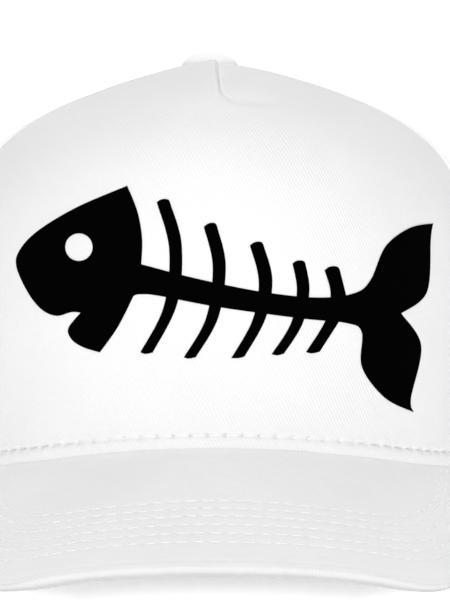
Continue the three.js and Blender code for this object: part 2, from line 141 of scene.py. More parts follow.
@dataclass
class VisorShape:
    """The visor's board: arched across, a little flatter at the front, and sloping down."""

    half_width: float = 90
    depth: float = 68.5
    corner: float = -62
    squareness: float = 2.95
    arch_radius: float = 108
    flattening: float = 0.57
    side_flattening: float = 0.05
    flattening_power: float = 2.6
    side_bend: float = 0.045
    side_bend_place: float = 62
    side_bend_width: float = 16
    slope: float = math.radians(29)
    thickness: float = 3
    crown_front: float = 100
    crown_half_width: float = 84

    def top(self, along: Array, out: Array) -> Array:
        """A point of the top face, `along` across the board and `out` from the crown."""
        along, out = np.broadcast_arrays(np.asarray(along, float), np.asarray(out, float))
        drop = self.arch_radius * (1 - np.cos(along / self.arch_radius))
        middle = np.maximum(0, 1 - (along / self.half_width) ** 2) ** self.flattening_power
        share = self.flattening * middle + self.side_flattening
        share -= self.side_bend * bell(np.abs(along) - self.side_bend_place, self.side_bend_width)
        drop = drop * (1 - share * smooth(0, self.depth, out))
        return stack(
            self.arch_radius * np.sin(along / self.arch_radius),
            -self.crown_front - out * math.cos(self.slope) + drop * math.sin(self.slope),
            -out * math.sin(self.slope) - drop * math.cos(self.slope),
        )

    def normal(self, along: Array) -> Array:
        """The top face's upward normal."""
        turn = np.asarray(along, float) / self.arch_radius
        lean, rise = math.sin(self.slope), math.cos(self.slope)
        return stack(np.sin(turn), -lean * np.cos(turn), rise * np.cos(turn))

    def out_at(self, x: Array, y: Array) -> Array:
        """How far out on the board the place over (x, y) of the head opening's plane lies."""
        turn = np.arcsin(np.clip(x / self.arch_radius, -1, 1))
        fall = self.arch_radius * (1 - np.cos(turn)) * math.sin(self.slope)
        return (fall - self.crown_front - y) / math.cos(self.slope)

    def height_over(self, x: Array, y: Array) -> Array:
        """Height of the top face over (x, y) in the head opening's plane."""
        drop = self.arch_radius - np.sqrt(np.maximum(0, self.arch_radius**2 - np.asarray(x) ** 2))
        return -self.out_at(x, y) * math.sin(self.slope) - drop * math.cos(self.slope)

    def inner(self, along: Array) -> Array:
        """Where the board meets the crown, at a distance across it."""
        x = self.arch_radius * np.sin(along / self.arch_radius)
        return self.out_at(x, -self.crown_front * np.sqrt(1 - (x / self.crown_half_width) ** 2))

    def outer(self, along: Array) -> Array:
        """The board's outline, at a distance across it."""
        share = np.minimum(1, np.abs(along) / self.half_width)
        bow = (1 - share**self.squareness) ** (1 / self.squareness)
        return self.corner + (self.depth - self.corner) * bow


VISOR = VisorShape()


@dataclass
class CrownShape:
    """The crown's skin. Each meridian is g^across + t^up = 1, from radius and height shares."""

    half_width: float = 84
    front: float = 100
    back: float = 98
    height: float = 122
    top_hole: float = 4
    well_depth: float = 2
    well_radius: float = 9
    top_shift: float = -2.3
    top_shift_radius: float = 30
    lift_fade: float = 4
    lift_corner: float = math.radians(70)
    lift_end: float = math.radians(94)
    front_powers: tuple[float, float] = (1.6, 6.5)
    side_powers: tuple[float, float] = (1.2, 6.5)
    back_powers: tuple[float, float] = (1.6, 3)
    front_focus: float = 6
    back_focus: float = 2
    azimuth_steps: int = 360
    rise_steps: int = 500
    meridian_steps: int = 1500
    rounds: int = 20
    radii: Array = field(init=False)
    heights: Array = field(init=False)
    lengths: Array = field(init=False)

    def __post_init__(self) -> None:
        """Works out the meridians' radius, height and length once, as tables."""
        azimuth = np.linspace(0, math.pi, self.azimuth_steps + 1)
        across, up = self.powers(azimuth)
        base = self.base_radius(azimuth)
        last = np.arccos((self.top_hole / base) ** (across / 2))
        turn = last[:, None] * np.linspace(0, 1, self.meridian_steps) ** 2
        radius = base[:, None] * np.cos(turn) ** (2 / across[:, None])
        height = self.height * np.sin(turn) ** (2 / up[:, None])
        lengths = np.cumsum(np.hypot(np.diff(radius), np.diff(height)), axis=1)
        lengths = np.insert(lengths, 0, 0, axis=1)
        self.lengths = lengths[:, -1]
        rises = np.linspace(0, 1, self.rise_steps + 1)
        rows = list(zip(lengths, self.lengths, radius, height))
        self.radii = np.array([np.interp(rises * total, line, r) for line, total, r, _ in rows])
        self.heights = np.array([np.interp(rises * total, line, h) for line, total, _, h in rows])

    def base_radius(self, azimuth: Array) -> Array:
        """Radius of the head opening."""
        depth = np.where(np.cos(azimuth) > 0, self.front, self.back)
        return 1 / np.hypot(np.sin(azimuth) / self.half_width, np.cos(azimuth) / depth)

    def powers(self, azimuth: Array) -> tuple[Array, Array]:
        """The meridian's two exponents, across and up."""
        cosine = np.cos(azimuth)
        focus = np.where(cosine > 0, self.front_focus, self.back_focus)
        along = np.abs(cosine) ** focus
        pairs = zip(self.front_powers, self.side_powers, self.back_powers)
        middles = ((np.where(cosine > 0, ahead, behind), side) for ahead, side, behind in pairs)
        across, up = (side + (middle - side) * along for middle, side in middles)
        return across, up

    def radius_at(self, azimuth: Array, height: Array) -> Array:
        """Radius of the skin at a height over the head opening."""
        across, up = self.powers(azimuth)
        share = np.clip(height / self.height, 0, 1)
        return self.base_radius(azimuth) * (1 - share**up) ** (1 / across)

    def back_azimuth(self, x: Array, height: Array) -> Array:
        """Azimuth at which the skin's back passes `x` across at a height, found in rounds."""
        azimuth = np.full_like(x, math.pi - 0.3)
        for _ in range(self.rounds):
            azimuth = math.pi - np.arcsin(x / self.radius_at(azimuth, height))
        return azimuth

    def table(self, values: Array, azimuth: Array, rise: Array) -> Array:
        """Looks up one of the tables between its entries."""
        column = np.abs(azimuth) / math.pi * self.azimuth_steps
        row = np.clip(rise, 0, 1) * self.rise_steps
        i = np.clip(column.astype(int), 0, self.azimuth_steps - 1)
        j = np.clip(row.astype(int), 0, self.rise_steps - 1)
        p, q = column - i, row - j
        low = values[i, j] * (1 - p) + values[i + 1, j] * p
        high = values[i, j + 1] * (1 - p) + values[i + 1, j + 1] * p
        return low * (1 - q) + high * q

    def length(self, azimuth: Array) -> Array:
        """Length of a whole meridian."""
        return np.interp(np.abs(azimuth), np.linspace(0, math.pi, self.azimuth_steps + 1), self.lengths)

    def radius(self, azimuth: Array, rise: Array) -> Array:
        """Radius of the skin at a rise."""
        return self.table(self.radii, azimuth, rise)

    def rise_at(self, azimuth: float, height: float) -> float:
        """The rise at which a meridian passes a height."""
        rises = np.linspace(0, 1, self.rise_steps + 1)
        heights = self.table(self.heights, np.full_like(rises, azimuth), rises)
        return float(np.interp(height, heights, rises))

    def edge_lift(self, azimuth: Array) -> Array:
        """Height of the crown's lower edge, which follows the visor round the front."""
        side = np.minimum(np.abs(azimuth), self.lift_corner)
        radius = self.base_radius(side)
        lift = VISOR.height_over(radius * np.sin(side), -radius * np.cos(side))
        return lift * (1 - smooth(self.lift_corner, self.lift_end, np.abs(azimuth)))

    def skin(self, azimuth: Array, rise: Array) -> Array:
        """The smooth skin, without the panels' pillowing."""
        azimuth, rise = np.broadcast_arrays(np.asarray(azimuth, float), np.asarray(rise, float))
        radius = self.radius(azimuth, rise)
        height = self.table(self.heights, azimuth, rise)
        low = np.clip(1 - height / self.height, 0, 1) ** self.lift_fade
        well = self.well_depth * np.exp(-((radius / self.well_radius) ** 2))
        shift = self.top_shift * (1 - smooth(0, self.top_shift_radius, radius))
        z = height + self.edge_lift(azimuth) * low - well
        return stack(radius * np.sin(azimuth) + shift, -radius * np.cos(azimuth), z)


CROWN = CrownShape()


@dataclass
class CapFrame:
    """Turns points of the cap's own frame, in millimetres, into the resting pose, in metres."""

    tilt: float = math.radians(10.65)
    button_seat: float = 121.2
    shank_length: float = 2.6
    turn: Array = field(init=False)
    origin: Array = field(init=False)

    def __post_init__(self) -> None:
        """Finds the frame's origin from the foot of the button's shank."""
        c, s = math.cos(self.tilt), math.sin(self.tilt)
        self.turn = np.array([[1, 0, 0], [0, c, s], [0, -s, c]])
        button = coordinates(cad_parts["button"].data) @ self.turn
        foot = button[button[:, 2] < button[:, 2].min() + 1e-5]
        middle = (foot.min(axis=0) + foot.max(axis=0)) / 2
        own = np.array([CROWN.top_shift, 0, self.button_seat - self.shank_length]) * MM
        self.origin = self.turn @ (middle - own)

    def place(self, points: Array) -> Array:
        """Points in the resting pose, in metres."""
        return (np.asarray(points, float) * MM) @ self.turn.T + self.origin

    def direct(self, vectors: Array) -> Array:
        """Directions in the resting pose."""
        return np.asarray(vectors, float) @ self.turn.T


# ---------------------------------------------------------------- panels as places


SEAM_LOW = math.radians(62)
SEAM_HIGH = math.radians(79)
SEAM_BEND = 0.55
SIDE_SEAM = math.radians(124)
PLAIN_DIP, DEEP_DIP = 1.5, 2.6
SOFT_FALL, STEEP_FALL = 6, 16
DIP_RISES = (0.08, 0.4)
DIP_RADIUS = 16
LEAN_RISES = (0.5, 1)
Seam = Callable[[Array], Array]


def front_seam(rise: Array) -> Array:
    """Azimuth of the seam between the front panel and the right side panel."""
    return SEAM_LOW + (SEAM_HIGH - SEAM_LOW) * smooth(0, SEAM_BEND, rise)


def straight(azimuth: float) -> Seam:
    """A seam that keeps its azimuth."""
    return lambda rise: np.full_like(np.asarray(rise, float), azimuth)


def mirrored(seam: Seam) -> Seam:
    """The same seam on the cap's other side."""
    return lambda rise: -seam(rise)


def dip_share(rise: Array, radius: Array) -> Array:
    """How much of its full depth a seam's dip has, which fades at the lower edge and the top."""
    return smooth(*DIP_RISES, rise) * smooth(CROWN.top_hole, DIP_RADIUS, radius)


@dataclass(frozen=True)
class Panel:
    """A panel between two seams, each an azimuth that may change with the rise.

    A place on it is `across`, from -1 at the first seam to 1 at the second, and a rise. `flat` and
    `area` are the cut cloth's width, height and area, in metres. The face dips towards each seam by
    `pillows`, the more suddenly the higher its one of `powers` is.
    """

    name: str
    start: Seam
    end: Seam
    columns: int
    rows: int
    flat: tuple[float, float]
    area: float
    pillows: tuple[float, float] = (PLAIN_DIP, PLAIN_DIP)
    powers: tuple[float, float] = (SOFT_FALL, SOFT_FALL)

    def azimuth(self, across: Array, rise: Array) -> Array:
        """Azimuth of a place on the panel, half the seam's gap away from the seams."""
        radius = np.maximum(CROWN.top_hole, CROWN.radius(self.start(rise), rise))
        low = self.start(rise) + SEAM_GAP / 2 / radius
        high = self.end(rise) - SEAM_GAP / 2 / radius
        return low + (high - low) * (across + 1) / 2

    def half_width(self, rise: Array) -> Array:
        """Half the panel's width along the skin."""
        middle = (self.start(rise) + self.end(rise)) / 2
        return CROWN.radius(middle, rise) * (self.end(rise) - self.start(rise)) / 2

    def skin(self, across: Array, rise: Array) -> Array:
        """The panel's face: the crown's skin, dipping towards the seams."""
        across, rise = (np.asarray(v, float) for v in np.broadcast_arrays(across, rise))
        points = CROWN.skin(self.azimuth(across, rise), rise)
        radius = np.hypot(points[..., 0], points[..., 1])
        depth, power = (np.where(across < 0, *pair) for pair in (self.pillows, self.powers))
        dip = depth * dip_share(rise, radius) * np.abs(across) ** power
        lean = smooth(*LEAN_RISES, rise)
        points[..., :2] *= (1 - dip * (1 - lean) / radius)[..., None]
        points[..., 2] -= dip * lean
        return points


SIDE_GRID = (84, 120)
SIDE_CUT = {"flat": (0.093, 0.177), "area": 0.01}
BACK_GRID = (96, 120)
BACK_CUT = {"flat": (0.123, 0.173), "area": 0.00965}
PANELS = (
    Panel(
        "front_panel",
        mirrored(front_seam),
        front_seam,
        387,
        127,
        flat=(0.243, 0.189),
        area=0.0327,
        pillows=(DEEP_DIP, DEEP_DIP),
    ),
    Panel(
        "side_panel_right",
        front_seam,
        straight(SIDE_SEAM),
        *SIDE_GRID,
        **SIDE_CUT,
        pillows=(DEEP_DIP, PLAIN_DIP),
        powers=(STEEP_FALL, SOFT_FALL),
    ),
    Panel(
        "side_panel_left",
        straight(-SIDE_SEAM),
        mirrored(front_seam),
        *SIDE_GRID,
        **SIDE_CUT,
        pillows=(PLAIN_DIP, DEEP_DIP),
        powers=(SOFT_FALL, STEEP_FALL),
    ),
    Panel("back_panel_right", straight(SIDE_SEAM), straight(math.pi), *BACK_GRID, **BACK_CUT),
    Panel("back_panel_left", straight(-math.pi), straight(-SIDE_SEAM), *BACK_GRID, **BACK_CUT),
)
FRONT = PANELS[0]


def normals(skin: Place, a: Array, b: Array) -> Array:
    """Outward normals of the surface `skin(a, b)`."""
    step = 2e-3
    along_a = skin(a + step, b) - skin(a - step, b)
    along_b = skin(a, np.minimum(1, b + step)) - skin(a, np.maximum(0, b - step))
    return unit(np.cross(along_a, along_b))


def raised(skin: Place, a: Array, b: Array, height: Array | float) -> Array:
    """The surface `skin(a, b)`, moved outwards along its normals."""
    lift = np.broadcast_to(np.asarray(height, float), np.broadcast(a, b).shape)
    return skin(a, b) + normals(skin, a, b) * lift[..., None]


# ---------------------------------------------------------------- mesh tools


def deselect() -> None:
    """Leaves object mode with nothing selected."""
    if bpy.context.object and bpy.context.object.mode != "OBJECT":
        bpy.ops.object.mode_set(mode="OBJECT")
    bpy.ops.object.select_all(action="DESELECT")


def activate(obj: bpy.types.Object) -> None:
    """Makes one object the only selected one, and active."""
    deselect()
    obj.select_set(True)
    bpy.context.view_layer.objects.active = obj


def named(name: str) -> bpy.types.Object:
    """Gives the active object and its mesh a name."""
    obj = bpy.context.object
    obj.name = obj.data.name = name
    return obj


def coordinates(mesh: bpy.types.Mesh) -> Array:
    """The mesh's vertices as an array."""
    flat = np.empty(len(mesh.vertices) * 3)
    mesh.vertices.foreach_get("co", flat)
    return flat.reshape(-1, 3)


def set_coordinates(mesh: bpy.types.Mesh, points: Array) -> None:
    """Moves the mesh's vertices to new places."""
    mesh.vertices.foreach_set("co", np.asarray(points, float).ravel())
    mesh.update()


def set_uv(mesh: bpy.types.Mesh, uv: Array) -> None:
    """Writes the UV map that the weave follows, from one pair of metres for each vertex."""
    while mesh.uv_layers:
        mesh.uv_layers.remove(mesh.uv_layers[0])
    layer = mesh.uv_layers.new(name="weave")
    corners = np.empty(len(mesh.loops), dtype=np.int32)
    mesh.loops.foreach_get("vertex_index", corners)
    layer.data.foreach_set("uv", np.asarray(uv, float)[corners].ravel())


def set_mask(mesh: bpy.types.Mesh, name: str, values: Array) -> None:
    """Writes a number from 0 to 1 for each vertex, which a material can read."""
    layer = mesh.attributes.new(name=name, type="FLOAT", domain="POINT")
    layer.data.foreach_set("value", np.clip(values, 0, 1).astype(float))


def modify(obj: bpy.types.Object, kind: str, **settings: Any) -> None:
    """Adds a modifier and applies it."""
    activate(obj)
    made = obj.modifiers.new(kind.lower(), kind)
    for key, value in settings.items():
        setattr(made, key, value)
    bpy.ops.object.modifier_apply(modifier=made.name)


def edit(obj: bpy.types.Object, *steps: Callable[[], Any]) -> None:
    """Runs edit-mode operators on the whole mesh."""
    activate(obj)
    bpy.ops.object.mode_set(mode="EDIT")
    for step in steps:
        bpy.ops.mesh.select_all(action="SELECT")
        step()
    bpy.ops.object.mode_set(mode="OBJECT")


def smooth_shade(obj: bpy.types.Object, degrees: float = 50) -> None:
    """Shades the object smooth, with edges sharper than the angle kept."""
    activate(obj)
    bpy.ops.object.shade_smooth_by_angle(angle=math.radians(degrees))


def laid_grid(name: str, columns: int, rows: int, place: Place, uv: Place) -> bpy.types.Object:
    """A grid laid over a surface.

    Args:
        name: The piece's name.
        columns: Faces from left to right, seen from outside.
        rows: Faces from bottom to top.
        place: Gives points in the cap's frame from the grid's own -1 to 1 and 0 to 1.
        uv: Gives the UV map, in millimetres, from the same values.

    Returns:
        The grid's object, in the resting pose.
    """
    deselect()
    bpy.ops.mesh.primitive_grid_add(x_subdivisions=columns, y_subdivisions=rows, size=2)
    obj = named(name)
    flat = coordinates(obj.data)
    across, up = flat[:, 0], (flat[:, 1] + 1) / 2
    set_uv(obj.data, uv(across, up) * MM)
    set_coordinates(obj.data, REST.place(place(across, up)))
    return obj


EDGE_STEPS = 4
MEASURE_STEPS = 60


def flat_section(half_width: float, thickness: float, steps: int = 10) -> Array:
    """The closed outline of a strip's section with rounded edges, as (across, out) pairs."""
    r = thickness / 2
    level = np.linspace(-half_width + r, half_width - r, steps)
    turn = np.linspace(0, math.pi, EDGE_STEPS + 1)[1:-1]
    top = np.stack([level, np.full(steps, r)], axis=1)
    edge = np.stack([half_width - r + r * np.sin(turn), r * np.cos(turn)], axis=1)
    half = np.concatenate([top, edge])
    return np.concatenate([half, -half, half[:1]])


def wrapped_grid(
    name: str, columns: int, section: Array, place: Callable[[Array, Array, Array], Array]
) -> bpy.types.Object:
    """A closed band: a grid whose rows run round a section, with its ends filled.

    Args:
        name: The piece's name.
        columns: Faces along the band.
        section: The section's closed outline, as (across, out) pairs in millimetres.
        place: Gives points in the cap's frame from a share along of -1 to 1, across and out.

    Returns:
        The band's object, in the resting pose.
    """
    rows = len(section) - 1

    def at(a: Array, b: Array) -> Array:
        """The band's points."""
        pair = section[np.rint(b * rows).astype(int)]
        return place(a, pair[:, 0], pair[:, 1])

    def uv(a: Array, b: Array) -> Array:
        """Lengths along the band and places across it."""
        level = np.zeros(MEASURE_STEPS)
        middle = place(np.linspace(-1, 1, MEASURE_STEPS), level, level)
        length = np.linalg.norm(np.diff(middle, axis=0), axis=1).sum()
        return np.stack([a * length / 2, section[np.rint(b * rows).astype(int)][:, 0]], axis=1)

    obj = laid_grid(name, columns, rows, at, uv)
    edit(
        obj,
        lambda: bpy.ops.mesh.remove_doubles(threshold=1e-6),
        lambda: bpy.ops.mesh.fill_holes(sides=0),
        lambda: bpy.ops.mesh.normals_make_consistent(inside=False),
    )
    return obj


def joined(name: str, pieces: list[bpy.types.Object]) -> bpy.types.Object:
    """Joins pieces into one object."""
    deselect()
    for piece in pieces:
        piece.select_set(True)
    bpy.context.view_layer.objects.active = pieces[0]
    if len(pieces) > 1:
        bpy.ops.object.join()
    return named(name)


def dress(obj: bpy.types.Object, material: bpy.types.Material, slot: str, *nodes: str) -> None:
    """Gives a finished piece its material and its body, and hides the nodes that it stands for."""
    obj.data.materials.clear()
    obj.data.materials.append(material)
    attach(obj, BODY)
    if nodes:
        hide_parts(*nodes)
    log.info("%s: %d faces", obj.name, len(obj.data.polygons))


REST = CapFrame()


# ---------------------------------------------------------------- shader maths


class Value:
    """A shader socket that can be used in expressions."""

    def __init__(self, tree: bpy.types.NodeTree, socket: bpy.types.NodeSocket) -> None:
        """Wraps a socket of a node tree."""
        self.tree = tree
        self.socket = socket

    def math(self, operation: str, *others: "Value | float") -> "Value":
        """Adds a Math node that starts from this value."""
        node = self.tree.nodes.new("ShaderNodeMath")
        node.operation = operation
        for place, value in enumerate((self, *others)):
            if isinstance(value, Value):
                self.tree.links.new(value.socket, node.inputs[place])
            else:
                node.inputs[place].default_value = value
        return Value(self.tree, node.outputs[0])

    def __add__(self, other: "Value | float") -> "Value":
        """Sum."""
        return self.math("ADD", other)

    def __mul__(self, other: "Value | float") -> "Value":
        """Product."""
        return self.math("MULTIPLY", other)

    def __sub__(self, other: "Value | float") -> "Value":
        """Difference."""
        return self.math("SUBTRACT", other)

    def __rsub__(self, other: float) -> "Value":
        """Difference from a number."""
        return self.math("MULTIPLY", -1.0) + other

    __radd__ = __add__
    __rmul__ = __mul__


class Nodes:
    """A short way to add nodes to a node tree."""

    def __init__(self, tree: bpy.types.NodeTree) -> None:
        """Keeps the tree."""
        self.tree = tree

    def feed(self, socket: bpy.types.NodeSocket, value: Any) -> None:
        """Links a value to a socket, or sets the socket to a constant."""
        if isinstance(value, Value):
            self.tree.links.new(value.socket, socket)
        else:
            socket.default_value = value

    def node(
        self, kind: str, settings: dict[str, Any] | None = None, out: str | int = 0, **inputs: Any
    ) -> Value:
        """Adds a node.

        Args:
            kind: The node's type, without its ShaderNode prefix.
            settings: Values of its properties, set first.
            out: The output to give back.
            **inputs: Constants or Values of its sockets, by name or identifier.

        Returns:
            The output asked for.
        """
        made = self.tree.nodes.new("ShaderNode" + kind)
        for key, value in (settings or {}).items():
            setattr(made, key, value)
        for key, value in inputs.items():
            self.feed(self.pick(made.inputs, key), value)
        return Value(self.tree, self.pick(made.outputs, out))

    def pick(self, sockets: Any, key: str | int) -> bpy.types.NodeSocket:
        """A node's socket, by its number, its identifier or its name with underscores for spaces."""
        if isinstance(key, int):
            return sockets[key]
        known = {socket.identifier: socket for socket in sockets}
        return known[key] if key in known else sockets[key.replace("_", " ")]

    def parts(self, vector: Value) -> tuple[Value, Value]:
        """A vector's first two numbers."""
        first = self.node("SeparateXYZ", Vector=vector)
        return first, Value(self.tree, first.socket.node.outputs[1])

    def noise(self, vector: Value, scale: float, detail: float = 2, roughness: float = 0.5) -> Value:
        """A noise from 0 to 1."""
        sockets = {"Vector": vector, "Scale": scale, "Detail": detail, "Roughness": roughness}
        return self.node("TexNoise", out="Fac", **sockets)

    def stretch(self, value: Value, low: float, high: float) -> Value:
        """A smooth step from 0 at `low` to 1 at `high`."""
        settings = {"interpolation_type": "SMOOTHSTEP"}
        return self.node("MapRange", settings, "Result", Value=value, From_Min=low, From_Max=high)

    def blend(self, share: Value, low: "Value | float", high: "Value | float") -> Value:
        """A colour between two others, each a colour or the level of a grey."""
        first, second = (end if isinstance(end, Value) else grey(end) for end in (low, high))
        colours = {"Factor_Float": share, "A_Color": first, "B_Color": second}
        return self.node("Mix", {"data_type": "RGBA"}, "Result_Color", **colours)


class Shader(Nodes):
    """A new material with one Principled shader."""

    def __init__(self, name: str) -> None:
        """Makes the material."""
        self.material = bpy.data.materials.new(name)
        self.material.use_nodes = True
        super().__init__(self.material.node_tree)
        self.surface = next(n for n in self.tree.nodes if n.type == "BSDF_PRINCIPLED")

    def set(self, **values: Any) -> None:
        """Sets sockets of the Principled shader, with underscores for spaces."""
        for key, value in values.items():
            self.feed(self.surface.inputs[key.replace("_", " ")], value)

    def finish(self, bump: Value, depth: float, **values: Any) -> bpy.types.Material:
        """Sets the Principled shader's sockets, with a bump of the given depth in millimetres."""
        normal = self.node("Bump", Height=bump, Distance=depth * MM, Strength=1.0)
        self.set(Normal=normal, **values)
        return self.material


def grey(level: float) -> tuple[float, float, float, float]:
    """A neutral colour."""
    return (level, level, level, 1)


@dataclass(frozen=True)
class Twill:
    """White cotton twill: steep diagonal ribs a millimetre apart, of slightly uneven yarns."""

    name: str
    level: float = 0.82
    spread: float = 0.025
    pitch: float = 1.0
    angle: float = math.radians(62)
    depth: float = 0.045
    # Colour of the painted shade that the mask gives in the needle holes, the grooves beside them and round
    # the visor's rim.
    painted_shade_level: float = 0.45
    pick_pitch: float = 0.62
    wander_scale: float = 180
    wander: float = 5.0
    slub_scale: float = 900
    cloud_scale: float = 22

    def material(self) -> bpy.types.Material:
        """Builds the material; its pattern runs on the UV map, in metres."""
        s = Shader(self.name)
        uv = s.node("UVMap", {"uv_map": "weave"})
        u, v = s.parts(uv)
        lean, rise = math.sin(self.angle), math.cos(self.angle)
        pace = 2 * math.pi / (self.pitch * MM)
        wander = (s.noise(uv, self.wander_scale) - 0.5) * self.wander
        ribs = ((u * lean + v * rise) * pace + wander).math("SINE") * 0.5 + 0.5
        turns = (v * lean - u * rise) * (pace / self.pick_pitch) + ribs * 2.0
        picks = turns.math("SINE") * 0.5 + 0.5
        slub = s.noise(uv, self.slub_scale, 3, 0.6)
        tone = s.noise(uv, self.cloud_scale, 3) * 0.45 + slub * 0.35 + ribs * 0.2
        cloth = s.blend(s.stretch(tone, 0.3, 0.7), self.level - self.spread, self.level + self.spread)
        # Painted shade: the mask darkens the cloth towards this level in the needle holes, their grooves and
        # round the visor's rim.
        holes = s.node("Attribute", {"attribute_name": "holes"}, "Fac")
        return s.finish(
            ribs * 0.5 + picks * ribs * 0.25 + slub * 0.5,
            self.depth,
            Base_Color=s.blend(holes, cloth, self.painted_shade_level),
            Roughness=0.92,
            Sheen_Weight=0.06,
            Sheen_Roughness=0.5,
            Specular_IOR_Level=0.2,
        )


@dataclass(frozen=True)
class PlainWeave:
    """White plain-woven cloth, from fine lining to open stiffened gauze."""

    name: str
    level: float = 0.78
    pitch: float = 0.7
    depth: float = 0.12
    open_level: float = 0.7
    slub_scale: float = 700

    def material(self) -> bpy.types.Material:
        """Builds the material; its pattern runs on the UV map, in metres."""
        s = Shader(self.name)
        uv = s.node("UVMap", {"uv_map": "weave"})
        u, v = s.parts(uv)
        pace = 2 * math.pi / (self.pitch * MM)
        warp = (u * pace).math("SINE") * 0.5 + 0.5
        weft = (v * pace).math("SINE") * 0.5 + 0.5
        over = warp.math("MAXIMUM", weft)
        slub = s.noise(uv, self.slub_scale, 3, 0.6)
        tone = over * 0.6 + slub * 0.4
        return s.finish(
            over * 0.7 + slub * 0.4,
            self.depth,
            Base_Color=s.blend(s.stretch(tone, 0.25, 0.75), self.open_level, self.level),
            Roughness=0.95,
            Specular_IOR_Level=0.2,
        )


@dataclass(frozen=True)
class Webbing:
    """White ribbed strap: fine ribs across its length."""

    name: str = "strap"
    level: float = 0.8
    spread: float = 0.03
    pitch: float = 0.9
    depth: float = 0.12
    slub_scale: float = 800

    def material(self) -> bpy.types.Material:
        """Builds the material; its pattern runs on the UV map, in metres."""
        s = Shader(self.name)
        uv = s.node("UVMap", {"uv_map": "weave"})
        u, v = s.parts(uv)
        pace = 2 * math.pi / (self.pitch * MM)
        bars = ((u + v * 0.3) * pace).math("SINE") * 0.5 + 0.5
        cross = ((v - u * 0.3) * pace * 1.4).math("SINE") * 0.5 + 0.5
        slub = s.noise(uv, self.slub_scale, 2)
        return s.finish(
            bars * 0.5 + cross * 0.2 + slub * 0.4,
            self.depth,
            Base_Color=s.blend(slub, self.level - self.spread, self.level + self.spread),
            Roughness=0.85,
            Specular_IOR_Level=0.25,
        )


@dataclass(frozen=True)
class Ink:
    """A matte black film pressed onto the cloth."""

    name: str = "ink"
    levels: tuple[float, float] = (0.0003, 0.0008)
    grain_scale: float = 900
    depth: float = 0.02

    def material(self) -> bpy.types.Material:
        """Builds the material."""
        s = Shader(self.name)
        grain = s.noise(s.node("TexCoord", out="Object"), self.grain_scale)
        colour = s.blend(grain, *self.levels)
        return s.finish(grain, self.depth, Base_Color=colour, Roughness=0.95, Specular_IOR_Level=0.01)


@dataclass(frozen=True)
class Thread:
    """White sewing thread with a slight sheen."""

    name: str = "thread"
    level: float = 0.85
    spread: float = 0.03
    twist_scale: float = 3000
    depth: float = 0.04

    def material(self) -> bpy.types.Material:
        """Builds the material."""
        s = Shader(self.name)
        twist = s.noise(s.node("TexCoord", out="Object"), self.twist_scale, 1)
        return s.finish(
            twist,
            self.depth,
            Base_Color=s.blend(twist, self.level - self.spread, self.level + self.spread),
            Roughness=0.6,
            Sheen_Weight=0.1,
        )


# ---------------------------------------------------------------- stitching


@dataclass
class Sewing:
    """Rows of stitches, each a short raised loop of thread that dips into the cloth."""

    thread: bpy.types.Material
    fullness: float = 0.8
    template: bpy.types.Object = field(init=False)

    def __post_init__(self) -> None:
        """Models one stitch, one unit long, wide and high."""
        deselect()
        bpy.ops.mesh.primitive_uv_sphere_add(segments=6, ring_count=6, radius=0.5)
        self.template = named("stitch")
        points = coordinates(self.template.data)
        points[:, 2] = np.sign(points[:, 2]) * 0.5 * np.abs(2 * points[:, 2]) ** self.fullness
        set_coordinates(self.template.data, points[:, [2, 0, 1]])
        smooth_shade(self.template, 80)

    def row(
        self,
        name: str,
        points: Array,
        facing: Array,
        pitch: float,
        size: tuple[float | Array, float, float] = (2.2, 0.5, 0.4),
        shift: float | Array = 0.0,
    ) -> bpy.types.Object:
        """Sews one row.

        Args:
            name: The row's name.
            points: A line of points on the cloth, in the cap's frame.
            facing: The cloth's normals there.
            pitch: Distance from stitch to stitch.
            size: Length, width and height of the raised thread. The lengths may differ.
            shift: How far each stitch is moved along the row.

        Returns:
            The row as one object.
        """
        lengths = np.insert(np.cumsum(np.linalg.norm(np.diff(points, axis=0), axis=1)), 0, 0)
        count = max(1, round(lengths[-1] / pitch))
        middles = (np.arange(count) + 0.5) * lengths[-1] / count + shift
        spans = np.broadcast_to(size[0], count)
        reach = 0.4 * pitch

        def at(where: Array, values: Array) -> Array:
            """The values at distances along the line."""
            return np.stack([np.interp(where, lengths, column) for column in values.T], axis=1)

        place = REST.place(at(middles, points))
        along = unit(REST.direct(at(middles + reach, points) - at(middles - reach, points)))
        up = unit(REST.direct(at(middles, facing)))
        side = unit(np.cross(up, along))
        up = np.cross(along, side)
        copies = []
        for k in range(count):
            copy = self.template.copy()
            copy.data = self.template.data.copy()
            columns = (along[k] * spans[k], side[k] * size[1], up[k] * size[2])
            matrix = Matrix([Vector(column) * MM for column in columns]).transposed().to_4x4()
            matrix.translation = Vector(place[k])
            copy.data.transform(matrix)
            bpy.context.scene.collection.objects.link(copy)
            copies.append(copy)
        obj = joined(name, copies)
        dress(obj, self.thread, "thread")
        return obj

    def rows(self, name: str, parts: list[bpy.types.Object]) -> None:
        """Joins several rows into one piece."""
        dress(joined(name, parts), self.thread, "thread")

    def clear(self) -> None:
        """Removes the template."""
        bpy.data.objects.remove(self.template)


# ---------------------------------------------------------------- crown


